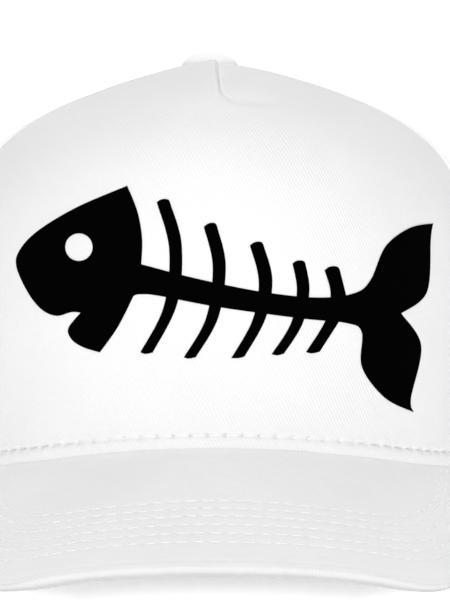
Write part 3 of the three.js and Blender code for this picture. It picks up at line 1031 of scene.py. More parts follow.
@dataclass(frozen=True)
class Dart:
    """The dart in the front panel's top, whose left side lies over its right, with a pucker."""

    foot: float = 99
    full: float = 109
    top: float = 118
    place: float = 1.4
    drift: float = 1.3
    edge: float = 0.6
    left: tuple[float, float] = (1.0, 9)
    right: tuple[float, float] = (0.6, 7)
    crease: tuple[tuple[float, float], ...] = (
        (1.2, 113), (1.6, 109), (2.6, 105.8), (4.6, 103.4), (8, 102.7), (13, 103), (18, 103.4), (24, 102.8),
    )
    crease_depth: float = 0.8
    crease_width: float = 0.75
    crease_fade: tuple[float, float] = (10, 25)
    bulge: float = 0.9
    bulge_place: tuple[float, float] = (10, 107.5)
    bulge_size: tuple[float, float] = (8, 3)
    bulge_clear: float = 2.2
    ledge: float = 0.6
    ledge_heights: tuple[float, float] = (98, 104)
    ledge_width: float = 24
    row_gap: float = 1.1

    def line(self, z: Array) -> Array:
        """Where the dart runs, across, at each height."""
        return self.place - self.drift * smooth(self.foot, self.top, z)

    def relief(self, points: Array) -> Array:
        """How far the dart, its pucker and the fullness round them stand out."""
        x, z = points[..., 0], points[..., 2]
        ahead = points[..., 1] < 0
        off = x - self.line(z)
        under = smooth(-self.edge, self.edge, off)
        height = (1 - under) * self.left[0] * np.exp(-np.maximum(0, -off) / self.left[1])
        height -= under * self.right[0] * np.exp(-np.maximum(0, off) / self.right[1])
        fold = distance_to(list(self.crease), x, z)
        pinch = self.crease_depth * bell(fold, self.crease_width) * (1 - smooth(*self.crease_fade, x))
        (across, up), (width, rise) = self.bulge_place, self.bulge_size
        bulge = self.bulge * bell(x - across, width) * bell(z - up, rise) * smooth(0, self.bulge_clear, fold)
        ledge = self.ledge * smooth(*self.ledge_heights, z) * bell(x, self.ledge_width)
        return smooth(self.foot + 1, self.full, z) * ahead * height - pinch + bulge + ledge * ahead


DART = Dart()


@dataclass(frozen=True)
class NeedleHoles:
    """The front's base row, whose thread pulls holes into the cloth, and grooves at the sides, both also
    darkened as painted shade.
    """

    row: float = 3.7
    count: int = 43
    sides: tuple[float, float] = (0.28, 0.5)
    spot: float = 0.66
    spot_size: tuple[float, float] = (0.5, 0.46)
    side_loss: float = 0.4
    dash: float = 0.6
    dash_width: float = 0.24
    dash_reach: tuple[float, float] = (0.74, 0.5)
    dash_end: float = 0.3
    depth: float = 0.4
    puff: float = 0.2
    puff_width: float = 1.6

    @property
    def step(self) -> float:
        """Distance from hole to hole, as a share of half the panel's width."""
        return 2 / self.count

    def near(self, across: Array, rise: Array, low: Array) -> Array:
        """How near a place is to a hole, from 0 to 1.

        Args:
            across: The place on the front panel, from -1 to 1.
            rise: Its rise.
            low: Its distance from the lower edge.

        Returns:
            1 in the middle of a hole, 0 away from all.
        """
        pitch = self.step * FRONT.half_width(rise)
        turn = np.abs(across) / self.step - 0.5
        away = (turn - np.floor(turn) - 1) * pitch
        away = np.where(away < -0.8 * pitch, away + pitch, away)
        off = low - self.row
        side = smooth(*self.sides, np.abs(across))
        spot = self.spot * bell(away, self.spot_size[0]) * bell(off, self.spot_size[1])
        start, full = self.dash_reach
        dash = smooth(-start, -full, away / pitch) * (1 - smooth(0, self.dash_end, away))
        groove = self.dash * dash * bell(off, self.dash_width) * side
        return np.maximum(spot * (1 - self.side_loss * side), groove)

    def relief(self, across: Array, rise: Array, low: Array) -> Array:
        """How far the cloth sinks at the holes and puffs up between them."""
        turn = (across + 1) / self.step
        puff = self.puff * np.sin(math.pi * turn) ** 2 * bell(low - self.row, self.puff_width)
        return puff - self.depth * self.near(across, rise, low)

    def stitches(self, pitch: float) -> tuple[Array, Array]:
        """Each stitch's length, and how far it is moved along the row.

        They are shorter towards the sides, and lie further out in their holes.
        """
        place = (np.arange(self.count) + 0.5) * self.step - 1
        side = smooth(*self.sides, np.abs(place))
        return pitch * (0.76 - 0.32 * side), -0.3 * pitch * side * np.sign(place)


HOLES = NeedleHoles()


@dataclass(frozen=True)
class Groove:
    """A line pressed into the cloth, by its depth and about half its width."""

    depth: float
    width: float

    def relief(self, away: Array) -> Array:
        """How far the cloth moves out at a distance from the line."""
        return -self.depth * bell(away, self.width)


@dataclass
class Crown:
    """The five sewn panels, with their seams, tapes and lining."""

    # The front panel's twill is a darker copy as painted shade, the other panels' a lighter copy as painted
    # light.
    front_twill_painted_shade: bpy.types.Material
    side_twill_painted_light: bpy.types.Material
    lining: bpy.types.Material
    gauze: bpy.types.Material
    sewing: Sewing
    seam_row: float = 3.0
    roll: Groove = Groove(0.55, 0.6)
    roll_fade: tuple[float, float] = (5, 12)
    seam_groove: Groove = Groove(0.3, 0.6)
    allowance: float = 0.25
    allowance_start: tuple[float, float] = (0.5, 2.2)
    allowance_end: tuple[float, float] = (5.5, 8)
    relief_fade: tuple[float, float] = (8, 20)
    base_roll: Groove = Groove(0.28, 0.5)
    base_swell: Groove = Groove(-0.4, 1.1)
    base_swell_row: float = 1.9
    base_groove: Groove = Groove(0.3, 0.55)
    slack: float = 0.14
    slack_size: float = 34
    arch_half_width: float = 42
    arch_height: float = 52
    arch_rows: tuple[float, ...] = (1.8, 6.4)
    arch_groove: Groove = Groove(0.25, 0.6)
    plain_stitch: tuple[float, float, float] = (2.5, 0.55, 0.4)
    dart_stitch: tuple[float, float, float] = (1.3, 0.4, 0.34)
    button_clear: float = 9.5
    arch_clear: float = 3
    tape_half_width: float = 8
    tape_end: float = 0.975
    gauze_depth: float = 0.25

    def build(self) -> None:
        """Makes all the crown's pieces."""
        for panel in PANELS:
            self.panel(panel)
        self.seams()
        self.base_rows()
        self.dart_row()
        self.arch_rows_of_stitches()
        self.tapes()
        self.front_lining()

    # -- relief

    def relief(self, panel: Panel, across: Array, rise: Array) -> Array:
        """How far sewing and wear move a panel's face out, in millimetres."""
        points = panel.skin(across, rise)
        radius = np.hypot(points[..., 0], points[..., 1])
        side = (1 - np.abs(across)) * panel.half_width(rise)
        low = rise * CROWN.length(panel.azimuth(across, rise))
        clear = smooth(*self.relief_fade, radius)
        height = self.roll.relief(side) * smooth(*self.roll_fade, radius)
        padding = smooth(*self.allowance_start, side) - smooth(*self.allowance_end, side)
        height += (self.allowance * padding + self.seam_groove.relief(side - self.seam_row)) * clear
        height += self.base_roll.relief(low) * (0.7 + 0.5 * ripple(points[..., 0], 0, 26, 1.7))
        height += self.base_swell.relief(low - self.base_swell_row)
        height += self.base_groove.relief(low - HOLES.row)
        seed = panel.start(np.zeros(1))[0]
        swell = ripple(points[..., 0] + points[..., 1], points[..., 2], self.slack_size, seed)
        height += self.slack * swell * clear
        if panel is FRONT:
            height += DART.relief(points) + HOLES.relief(across, rise, low)
        away = self.arch_distance(points)
        height += self.roll.relief(away)
        for row in self.arch_rows:
            height += self.arch_groove.relief(away - row)
        return height

    def face(self, panel: Panel) -> Place:
        """The panel's finished outer face."""
        return lambda a, b: raised(panel.skin, a, b, self.relief(panel, a, b))

    def arch_distance(self, points: Array) -> Array:
        """About how far a place lies from the edge of the back opening."""
        share = np.hypot(points[..., 0] / self.arch_half_width, points[..., 2] / self.arch_height)
        return np.where(points[..., 1] > 0, (share - 1) * self.arch_radius, 99)

    @property
    def arch_radius(self) -> float:
        """The back opening's mean radius."""
        return (self.arch_half_width + self.arch_height) / 2

    def arch_line(self, turn: Array, out: Array | float = 0) -> tuple[Array, Array, Array]:
        """A line round the back opening, at a distance outside its edge.

        Args:
            turn: Turns round the opening, from 0 at the right foot to pi at the left one.
            out: Distance from the edge.

        Returns:
            The places' x, height and unsigned azimuth.
        """
        share = 1 + out / self.arch_radius
        x = self.arch_half_width * share * np.cos(turn)
        z = self.arch_height * share * np.sin(turn)
        return x, z, CROWN.back_azimuth(np.abs(x), z)

    def back_place(self, azimuth: Array, z: Array) -> tuple[Array, Array]:
        """Places on the right back panel, as `across` and rise."""
        across = (azimuth - SIDE_SEAM) / (math.pi - SIDE_SEAM) * 2 - 1
        return across, np.array([CROWN.rise_at(p, q) for p, q in zip(azimuth, z)])

    # -- panels

    def spread(self, panel: Panel, a: Array, b: Array) -> tuple[Array, Array]:
        """Grid places as places on the panel, closer together where the shape is finer."""
        rise = np.interp(b, [0, 0.17, 0.72, 1], [0, 0.05, 0.8, 1])
        if panel is FRONT:
            wave = 2 * math.pi / HOLES.step
            return a - 0.35 * np.sin(wave * (a + 1)) / wave, rise
        if "back" not in panel.name:
            return np.sin(a * 0.4 * math.pi) / math.sin(0.4 * math.pi), rise
        foot_across, foot_rise = self.arch_foot(panel, a)
        return foot_across + (a - foot_across) * b, foot_rise + (1 - foot_rise) * rise

    def arch_foot(self, panel: Panel, a: Array) -> tuple[Array, Array]:
        """The lower edge of a back panel, which rises round the back opening.

        Args:
            panel: The back panel.
            a: Grid places along its lower edge, from -1 to 1.

        Returns:
            The places' `across` and rise.
        """
        hand = 1 if panel.name.endswith("right") else -1
        table = np.linspace(0, 1, panel.columns // 2 + 1)
        _, z, azimuth = self.arch_line(table * math.pi / 2)
        across, rises = self.back_place(azimuth, z)
        places = np.concatenate([[-1], table])
        found = np.interp(a * hand, places, [-1, *across])
        return found * hand, np.interp(a * hand, places, [0, *rises])

    def panel(self, panel: Panel) -> None:
        """Makes one panel: a grid over its face, given the cloth's thickness."""
        face = self.face(panel)

        def place(a: Array, b: Array) -> Array:
            """The panel's points."""
            return face(*self.spread(panel, a, b))

        def uv(a: Array, b: Array) -> Array:
            """Lengths across the panel and up it."""
            across, rise = self.spread(panel, a, b)
            length = float(CROWN.length((panel.start(np.zeros(1)) + panel.end(np.zeros(1))) / 2)[0])
            return np.stack([across * panel.half_width(rise), rise * length], axis=-1)

        obj = laid_grid(panel.name + "_cloth", panel.columns, panel.rows, place, uv)
        if panel is FRONT:
            a, b = np.meshgrid(np.linspace(-1, 1, panel.columns + 1), np.linspace(0, 1, panel.rows + 1))
            across, rise = self.spread(panel, a.ravel(), b.ravel())
            low = rise * CROWN.length(panel.azimuth(across, rise))
            # Painted shade: the mask darkens the cloth in the needle holes and the grooves at the sides.
            set_mask(obj.data, "holes", HOLES.near(across, rise, low))
        modify(obj, "SOLIDIFY", thickness=CLOTH * MM, offset=-1)
        smooth_shade(obj)
        dress(obj, self.front_twill_painted_shade if panel is FRONT else self.side_twill_painted_light, "crown_twill", panel.name)

    # -- stitches

    def line(self, panel: Panel, across: Array, rise: Array, sink: float = 0.1) -> tuple[Array, Array]:
        """A line on a panel's face with its normals, sunk a little into the cloth."""
        facing = normals(panel.skin, across, rise)
        return self.face(panel)(across, rise) - facing * sink, facing

    def off_button(self, points: Array) -> Array:
        """Whether each point lies clear of the button."""
        return np.hypot(points[:, 0], points[:, 1]) > self.button_clear

    def seams(self) -> None:
        """A row of stitches on each side of each panel seam."""
        rise = np.linspace(0.012, 0.93, 260)
        for panel in PANELS:
            rows = []
            for edge in (-1, 1):
                across = edge * (1 - self.seam_row / panel.half_width(rise))
                points, facing = self.line(panel, across, rise)
                keep = (self.arch_distance(points) > self.arch_clear) & self.off_button(points)
                rows.append(self.sewing.row("row", points[keep], facing[keep], 3.0))
            self.sewing.rows(panel.name + "_seam_stitches", rows)

    def base_rows(self) -> None:
        """The row of stitches over the lower edge, which also holds the sweatband."""
        for panel in PANELS:
            across = np.linspace(-1, 1, 400)
            rise = HOLES.row / CROWN.length(panel.azimuth(across, np.zeros(400)))
            points, facing = self.line(panel, across, rise, 0.12)
            name = panel.name + "_base_stitches"
            if panel is FRONT:
                pitch = float(np.linalg.norm(np.diff(points, axis=0), axis=1).sum()) / HOLES.count
                lengths, shift = HOLES.stitches(pitch)
                self.sewing.row(name, points, facing, pitch, (lengths, 0.6, 0.42), shift)
            else:
                keep = self.arch_distance(points) > self.arch_clear
                self.sewing.row(name, points[keep], facing[keep], 3.4, self.plain_stitch)

    def dart_row(self) -> None:
        """Small stitches along the left of the dart."""
        rise = np.linspace(0.6, 0.97, 1200)
        across = np.zeros_like(rise)
        for _ in range(8):
            points = FRONT.skin(across, rise)
            across += (DART.line(points[:, 2]) - DART.row_gap - points[:, 0]) / FRONT.half_width(rise)
        points, facing = self.line(FRONT, across, rise, 0.12)
        keep = (points[:, 2] > DART.foot + 3) & self.off_button(points)
        self.sewing.row("dart_stitches", points[keep], facing[keep], 1.9, self.dart_stitch)

    def arch_rows_of_stitches(self) -> None:
        """Two rows of stitches round the back opening."""
        rows = []
        for panel in PANELS[3:]:
            hand = 1 if panel.name.endswith("right") else -1
            for gap in self.arch_rows:
                _, z, azimuth = self.arch_line(np.linspace(0.06, math.pi / 2 - 0.02, 160), gap)
                across, rise = self.back_place(azimuth, z)
                points, facing = self.line(panel, across * hand, rise)
                rows.append(self.sewing.row("row", points, facing, 3.0))
        self.sewing.rows("arch_stitches", rows)

    # -- inside

    def tapes(self) -> None:
        """The tapes that cover the seams inside, and the binding of the back opening."""
        seams = {
            "front_right": (front_seam, 0.03, DEEP_DIP + 0.1),
            "front_left": (mirrored(front_seam), 0.03, DEEP_DIP + 0.1),
            "side_right": (straight(SIDE_SEAM), 0.03, PLAIN_DIP + 0.1),
            "side_left": (straight(-SIDE_SEAM), 0.03, PLAIN_DIP + 0.1),
            "back": (straight(math.pi), 0.36, PLAIN_DIP + 0.1),
        }
        for name, (seam, start, depth) in seams.items():
            self.tape("tape_" + name, seam, start, depth)
        self.binding()

    def tape(self, name: str, seam: Seam, start: float, depth: float) -> None:
        """Lays one tape behind a seam.

        Args:
            name: The tape's name.
            seam: The seam that it covers.
            start: The rise of its lower end.
            depth: How far the panels dip at the seam.
        """

        def place(a: Array, w: Array, h: Array) -> Array:
            """The tape's points."""
            rise = start + (self.tape_end - start) * (a + 1) / 2
            radius = CROWN.radius(seam(rise), rise)
            dip = depth * dip_share(rise, radius)
            return raised(CROWN.skin, seam(rise) + w / radius, rise, h - CLOTH - 0.45 - dip)

        obj = wrapped_grid(name, 70, flat_section(self.tape_half_width, 0.7, 8), place)
        smooth_shade(obj, 60)
        dress(obj, self.lining, "lining")

    def binding(self) -> None:
        """The tape inside the edge of the back opening."""

        def place(a: Array, w: Array, h: Array) -> Array:
            """The binding's points."""
            x, z, azimuth = self.arch_line((a + 1) / 2 * (math.pi - 0.24) + 0.12, w + 4.7)
            radius = CROWN.radius_at(azimuth, z) - CLOTH - 0.6 + h
            return stack(radius * np.sin(azimuth) * np.sign(x), -radius * np.cos(azimuth), z)

        obj = wrapped_grid("arch_binding", 90, flat_section(4.5, 0.8, 5), place)
        smooth_shade(obj, 60)
        dress(obj, self.lining, "lining")

    def front_lining(self) -> None:
        """The stiffened gauze behind the front panel."""

        def place(a: Array, b: Array) -> Array:
            """The gauze's points."""
            return raised(FRONT.skin, 0.97 * a, 0.03 + 0.87 * b, -CLOTH - self.gauze_depth)

        def uv(a: Array, b: Array) -> Array:
            """Lengths across the gauze and up it."""
            return np.stack([a * FRONT.half_width(b), b * 150], axis=-1)

        obj = laid_grid("front_gauze", 110, 70, place, uv)
        modify(obj, "SOLIDIFY", thickness=0.4 * MM, offset=-1)
        smooth_shade(obj)
        dress(obj, self.gauze, "lining")


# ---------------------------------------------------------------- visor


@dataclass
class Visor:
    """The stiff visor in its cloth, with six rows of stitches above and below."""

    twill: bpy.types.Material
    sewing: Sewing
    radius: float = 1.4
    tuck: float = 1.0
    close: float = 0.22
    top_rows: int = 105
    rim_rows: int = 10
    bottom_rows: int = 45
    columns: int = 300
    row_power: float = 3
    # Painted shade round the rim: a little over its whole round, more on its lower half.
    rim_shades: tuple[float, float] = (0.36, 0.8)
    rim_swell: float = 0.9
    rim_swell_end: tuple[float, float] = (50, 68)
    rim_swell_reach: float = 7
    rows: tuple[tuple[float, float], ...] = (
        (13.9, 6), (18.9, 8), (23.9, 10), (28.9, 12), (33.4, 14), (37.9, 16),
    )
    edge_row: tuple[float, float] = (3.4, 2.6)
    row_groove: Groove = Groove(0.14, 0.8)
    edge_groove: Groove = Groove(0.12, 0.8)
    stitch: tuple[float, float, float] = (3.5, 0.7, 0.42)
    pitch: float = 4.6

    def build(self) -> None:
        """Makes the board in its cloth, and its stitches."""
        share, kind = self.stations()
        rows = len(share) - 1

        def along(a: Array) -> Array:
            """Distance across the board, closer together at its sides."""
            return -VISOR.half_width * np.sin(a * math.pi / 2)

        def place(a: Array, b: Array) -> Array:
            """The cloth's points."""
            j = np.rint(b * rows).astype(int)
            return self.wrap(along(a), share[j], kind[j])

        def uv(a: Array, b: Array) -> Array:
            """Lengths across the board and round it."""
            j = np.rint(b * rows).astype(int)
            inner, outer = self.reach(along(a))
            return np.stack([along(a), -(inner + (outer - inner) * share[j]) - kind[j]], axis=-1)

        obj = laid_grid("visor_cloth", self.columns, rows, place, uv)
        # Painted shade: the mask darkens the cloth round the rim.
        set_mask(obj.data, "holes", np.repeat(self.shade(share, kind / math.pi), self.columns + 1))
        edit(
            obj,
            lambda: bpy.ops.mesh.remove_doubles(threshold=1e-6),
            lambda: bpy.ops.mesh.fill_holes(sides=0),
            lambda: bpy.ops.mesh.normals_make_consistent(inside=False),
        )
        smooth_shade(obj, 60)
        dress(obj, self.twill, "visor_twill", "visor")
        self.stitches()

    def shade(self, share: Array, turn: Array) -> Array:
        """Painted shade round the rim: how much darker the cloth is made there, most of all on the lower
        half of its round.
        """
        edge, under = self.rim_shades
        return (share > 0.97) * (edge * smooth(0, 0.15, turn) + under * smooth(0.25, 0.75, turn))

    def stations(self) -> tuple[Array, Array]:
        """The section's stations: shares of the way out, and turns round the rim from 0 to pi."""
        top = np.linspace(0, 1, self.top_rows + 1)
        rim = np.linspace(0, math.pi, self.rim_rows + 1)[1:-1]
        bottom = np.linspace(1, 0, self.bottom_rows + 1)
        share = np.concatenate([top, np.ones(len(rim)), bottom, [0]])
        turn = np.concatenate([np.zeros(len(top)), rim, np.full(len(bottom), math.pi), [0]])
        return share, turn

    def reach(self, along: Array) -> tuple[Array, Array]:
        """Where the board starts and where its rim's round begins."""
        outer = VISOR.outer(along) - self.radius
        return np.minimum(VISOR.inner(along) - self.tuck, outer - 2), outer

    def relief(self, along: Array, out: Array) -> Array:
        """How far the stitched rows and slack move the cloth in from the board's face."""
        depth = self.edge_groove.relief(self.row_distance(along, out, *self.edge_row))
        for row in self.rows:
            depth += self.row_groove.relief(self.row_distance(along, out, *row))
        return depth + 0.12 * ripple(along, out, 40, 1.3) + 0.05 * ripple(along, out, 9, 0.4)

    def row_distance(self, along: Array, out: Array, centre: float, side: float) -> Array:
        """Distance to the curve that runs inside the outline, nearer to it at the sides."""
        power, reach, width = self.row_power, VISOR.depth - centre - VISOR.corner, VISOR.half_width - side
        p, q = np.abs(along) / width, np.maximum(1e-3, out - VISOR.corner) / reach
        value = p**power + q**power - 1
        slope = power * np.hypot(p ** (power - 1) / width, q ** (power - 1) / reach)
        return value / slope

    def wrap(self, along: Array, share: Array, turn: Array) -> Array:
        """A point of the cloth's outside.

        Args:
            along: Distance across the board.
            share: Share of the way from the crown to the rim.
            turn: 0 on the top face, pi on the lower one, and between them round the rim.

        Returns:
            Points in the cap's frame.
        """
        inner, outer = self.reach(along)
        out = inner + (outer - inner) * share
        relief = self.relief(along, out) * np.cos(turn) * smooth(0, 0.05, share)
        out = out + self.radius * np.sin(turn) * (share == 1)
        snug = self.close * (1 - smooth(0.5, 4, out - inner)) * (turn == 0)
        middle = 1 - smooth(*self.rim_swell_end, np.abs(along))
        swell = self.rim_swell * middle * (1 - smooth(0, self.rim_swell_reach, outer - out))
        thickness = VISOR.thickness + swell
        drop = GAP + (thickness / 2) * (1 - np.cos(turn)) - relief - snug
        drop = drop + 0.1 * (share == 1) * np.sin(turn) * ripple(along, 0 * along, 12, 2.0)
        return VISOR.top(along, out) - VISOR.normal(along) * drop[..., None]

    def stitches(self) -> None:
        """Six rows of stitches on the top face and six on the lower one."""
        for label, face in (("top", 0.0), ("under", VISOR.thickness)):
            rows = []
            for centre, side in self.rows:
                turn = np.linspace(0.02, math.pi - 0.02, 1500)
                power = 2 / self.row_power
                width = VISOR.half_width - side
                along = width * np.sign(np.cos(turn)) * np.abs(np.cos(turn)) ** power
                out = VISOR.corner + (VISOR.depth - centre - VISOR.corner) * np.sin(turn) ** power
                keep = out > VISOR.inner(along) + 0.6
                along, out = along[keep], out[keep]
                facing = VISOR.normal(along) * (1 if face == 0 else -1)
                sunk = self.relief(along, out) + 0.04
                points = VISOR.top(along, out) - VISOR.normal(along) * (GAP + face) + facing * sunk[:, None]
                rows.append(self.sewing.row("row", points, facing, self.pitch, self.stitch))
            self.sewing.rows(f"visor_{label}_stitches", rows)


# ---------------------------------------------------------------- small pieces


@dataclass
class Button:
    """The cloth-covered button on top."""

    twill: bpy.types.Material
    radius: float = 9
    height: float = 5.1
    seat: float = 121.2
    widest: float = 0.5
    skirt: float = 2.2
    folds: int = 11
    fold_depth: float = 0.1
    fullness: tuple[float, float] = (0.8, 0.2)

    def build(self) -> None:
        """Shapes a sphere into a low dome whose cloth is gathered under its rim."""
        deselect()
        bpy.ops.mesh.primitive_uv_sphere_add(segments=96, ring_count=48, radius=1)
        obj = named("button_cloth")
        points = coordinates(obj.data)
        azimuth = np.arctan2(points[:, 1], points[:, 0])
        flat = np.hypot(points[:, 0], points[:, 1])
        upper = points[:, 2] > 0
        gather = self.fold_depth * np.cos(self.folds * azimuth + np.sin(3 * azimuth)) * flat**6
        radius = self.radius * flat ** np.where(upper, *self.fullness) + gather
        depth = np.where(upper, self.height - self.widest, self.skirt)
        lifted = depth * points[:, 2] + self.widest + gather / 2 * upper
        x, y = radius * np.cos(azimuth), radius * np.sin(azimuth)
        set_uv(obj.data, np.stack([x, y], axis=1) * MM)
        set_coordinates(obj.data, REST.place(stack(CROWN.top_shift + x, y, self.seat + lifted)))
        smooth_shade(obj, 60)
        dress(obj, self.twill, "crown_twill", "button")


@dataclass
class Eyelets:
    """Four vent holes, each bound with a ring of satin stitch."""

    thread: bpy.types.Material
    azimuths: tuple[float, float] = (101, 152)
    rise: float = 0.72
    radius: float = 3.9
    cord: float = 1.2
    hole: float = 3.3
    spokes: int = 34
    ridge: float = 0.1
    flatness: float = 0.9

    def build(self) -> None:
        """Cuts each hole in its panel and binds it."""
        for side in Side:
            for number, degrees in enumerate(self.azimuths, 1):
                centre, turn = self.seat(math.radians(degrees) * side.value)
                panel = ("side_panel_" if number == 1 else "back_panel_") + side.label + "_cloth"
                self.cut(bpy.data.objects[panel], centre, turn)
                self.ring(f"eyelet_{side.label}_{number}", centre, turn)

    def seat(self, azimuth: float) -> tuple[Vector, Matrix]:
        """Where an eyelet sits and how it faces, in the resting pose."""
        a, b = np.array([azimuth]), np.array([self.rise])
        facing = normals(CROWN.skin, a, b)[0]
        centre = CROWN.skin(a, b)[0] - facing * CLOTH / 2
        turn = Vector((0, 0, 1)).rotation_difference(Vector(REST.direct(facing))).to_matrix()
        return Vector(REST.place(centre)), turn.to_4x4()

    def cut(self, panel: bpy.types.Object, centre: Vector, turn: Matrix) -> None:
        """Cuts a round hole through the cloth."""
        deselect()
        bpy.ops.mesh.primitive_cylinder_add(vertices=40, radius=self.hole * MM, depth=8 * MM)
        tool = named("eyelet_tool")
        tool.data.transform(Matrix.Translation(centre) @ turn)
        modify(panel, "BOOLEAN", operation="DIFFERENCE", solver="EXACT", object=tool)
        bpy.data.objects.remove(tool)
        smooth_shade(panel)

    def ring(self, name: str, centre: Vector, turn: Matrix) -> None:
        """Makes one ring, ridged by its stitches."""
        deselect()
        bpy.ops.mesh.primitive_torus_add(
            major_radius=self.radius * MM,
            minor_radius=self.cord * MM,
            major_segments=self.spokes * 4,
            minor_segments=12,
        )
        obj = named(name + "_satin")
        points = coordinates(obj.data)
        azimuth = np.arctan2(points[:, 1], points[:, 0])
        flat = np.hypot(points[:, 0], points[:, 1]) - self.radius * MM
        ridge = 1 + self.ridge * np.cos(self.spokes * azimuth)
        radius = self.radius * MM + flat * ridge
        height = points[:, 2] * ridge * self.flatness
        set_coordinates(obj.data, stack(radius * np.cos(azimuth), radius * np.sin(azimuth), height))
        obj.data.transform(Matrix.Translation(centre) @ turn)
        smooth_shade(obj, 70)
        dress(obj, self.thread, "thread", name)


@dataclass
class Bands:
    """The sweatband inside and the strap at the back."""

    lining: bpy.types.Material
    strap: bpy.types.Material
    sewing: Sewing
    band_width: float = 32
    band_depth: float = 2.4
    band_end: float = math.radians(38)
    band_lift: float = 0.6
    band_slack: float = 0.25
    band_rows: tuple[float, float] = (2.4, 29)
    strap_width: float = 24
    strap_thickness: float = 1.3
    tail: float = math.radians(36)
    overlap: float = math.radians(14)
    corner: float = 4
    strap_row_inset: float = 1.9
    strap_row_end: float = 0.03
    strap_box: float = 0.14
    ramp: tuple[float, float] = (math.radians(19), math.radians(23))

    def build(self) -> None:
        """Makes the bands and their stitches."""
        self.sweatband()
        for side in Side:
            self.strap_half(side)

    def strip(self, azimuth: Array, z: Array, depth: Array) -> Array:
        """A point of an upright strip, at a height over the head opening and a depth in the crown."""
        lift = CROWN.edge_lift(azimuth) * (1 - z / self.band_width)
        radius = CROWN.radius_at(azimuth, z) - depth
        return stack(radius * np.sin(azimuth), -radius * np.cos(azimuth), z + lift)

    def sweatband(self) -> None:
        """The folded cotton band round the head opening."""
        half = (self.band_width - self.band_lift) / 2

        def place(a: Array, w: Array, h: Array) -> Array:
            """The band's points."""
            azimuth = a * (math.pi - self.band_end)
            slack = self.band_slack * ripple(azimuth * 90, w, 22, 0.8) * smooth(-half, half, w)
            return self.strip(azimuth, w + half + self.band_lift, self.band_depth + 0.5 - h - slack)

        obj = wrapped_grid("sweatband_cloth", 260, flat_section(half, 1.0, 16), place)
        smooth_shade(obj, 60)
        dress(obj, self.lining, "lining", "sweatband")
        end = math.pi - self.band_end - 0.02
        azimuth = np.linspace(-end, end, 500)
        facing = stack(-np.sin(azimuth), np.cos(azimuth), 0)
        rows = []
        for height in self.band_rows:
            points = self.strip(azimuth, np.full(500, height), np.full(500, self.band_depth + 1.1))
            rows.append(self.sewing.row("row", points, facing, 3.2))
        self.sewing.rows("sweatband_stitches", rows)

    def strap_half(self, side: Side) -> None:
        """One half of the strap: the right one stays behind the panels, the left one laps over it."""
        over = side is Side.LEFT
        low, high = (-self.overlap, self.tail) if over else (-self.tail, self.overlap)
        half = self.strap_width / 2
        section = flat_section(half, self.strap_thickness, 12)

        def depth(away: Array) -> Array:
            """How deep the strap's face lies in the crown."""
            raised_share = 1 - smooth(*self.ramp, away) if over else np.zeros_like(away)
            return (CLOTH + GAP) * (1 - raised_share) - 0.2 * raised_share

        def place(a: Array, w: Array, h: Array) -> Array:
            """The strap's points."""
            away = low + (high - low) * (a + 1) / 2
            free = (away - low if over else high - away) * CROWN.back
            round_off = np.sqrt(np.clip(1 - (1 - free / self.corner) ** 2, 0, 1))
            width = half - self.corner * (1 - np.where(free < self.corner, round_off, 1))
            inward = depth(away) + self.strap_thickness / 2 - h
            return self.strip(math.pi + away, w * width / half + half, inward)

        obj = wrapped_grid(f"strap_{side.label}_webbing", 110, section, place)
        smooth_shade(obj, 60)
        dress(obj, self.strap, "strap", f"strap_{side.label}")
        self.strap_stitches(side, low, high, depth)

    def strap_stitches(self, side: Side, low: float, high: float, depth: Callable[[Array], Array]) -> None:
        """Rows along both edges of a strap, and two across its sewn end."""
        low, high = low + self.strap_row_end, high - self.strap_row_end
        rows = []
        for height in (self.strap_row_inset, self.strap_width - self.strap_row_inset):
            rows.append(self.strap_row(np.linspace(low, high, 200), np.full(200, height), depth))
        height = np.linspace(2.2, self.strap_width - 2.2, 60)
        for step in (0, self.strap_box):
            away = low + step if side is Side.LEFT else high - step
            rows.append(self.strap_row(np.full(60, away), height, depth))
        self.sewing.rows(f"strap_{side.label}_stitches", rows)

    def strap_row(self, away: Array, height: Array, depth: Callable[[Array], Array]) -> bpy.types.Object:
        """One row of stitches on a strap's outer face."""
        azimuth = math.pi + away
        points = self.strip(azimuth, height, depth(away) - 0.05)
        facing = stack(np.sin(azimuth), -np.cos(azimuth), 0)
        return self.sewing.row("row", points, facing, 2.8)


# ---------------------------------------------------------------- sight, print and stage


@dataclass
class Sight:
    """The line of sight that the figure is drawn square to, which the camera takes too."""

    rise: float = math.radians(3)
    distance: float = 1200
    axis: tuple[float, float] = (2.6, 42.9)

    def on_plane(self, right: Array, up: Array) -> Array:
        """A place on the figure's plane, from the middle of the visor's seam, in the resting pose."""
        y = -CROWN.front - np.asarray(up, float) * math.sin(self.rise)
        return REST.place(stack(right, y, np.asarray(up, float) * math.cos(self.rise)))

    @property
    def direction(self) -> Array:
        """The way one looks."""
        return REST.direct(np.array([0, math.cos(self.rise), math.sin(self.rise)]))

    @property
    def eye(self) -> Array:
        """Where one looks from."""
        return self.on_plane(*self.axis) - self.direction * self.distance * MM


SIGHT = Sight()
Outline = list[tuple[float, float]]


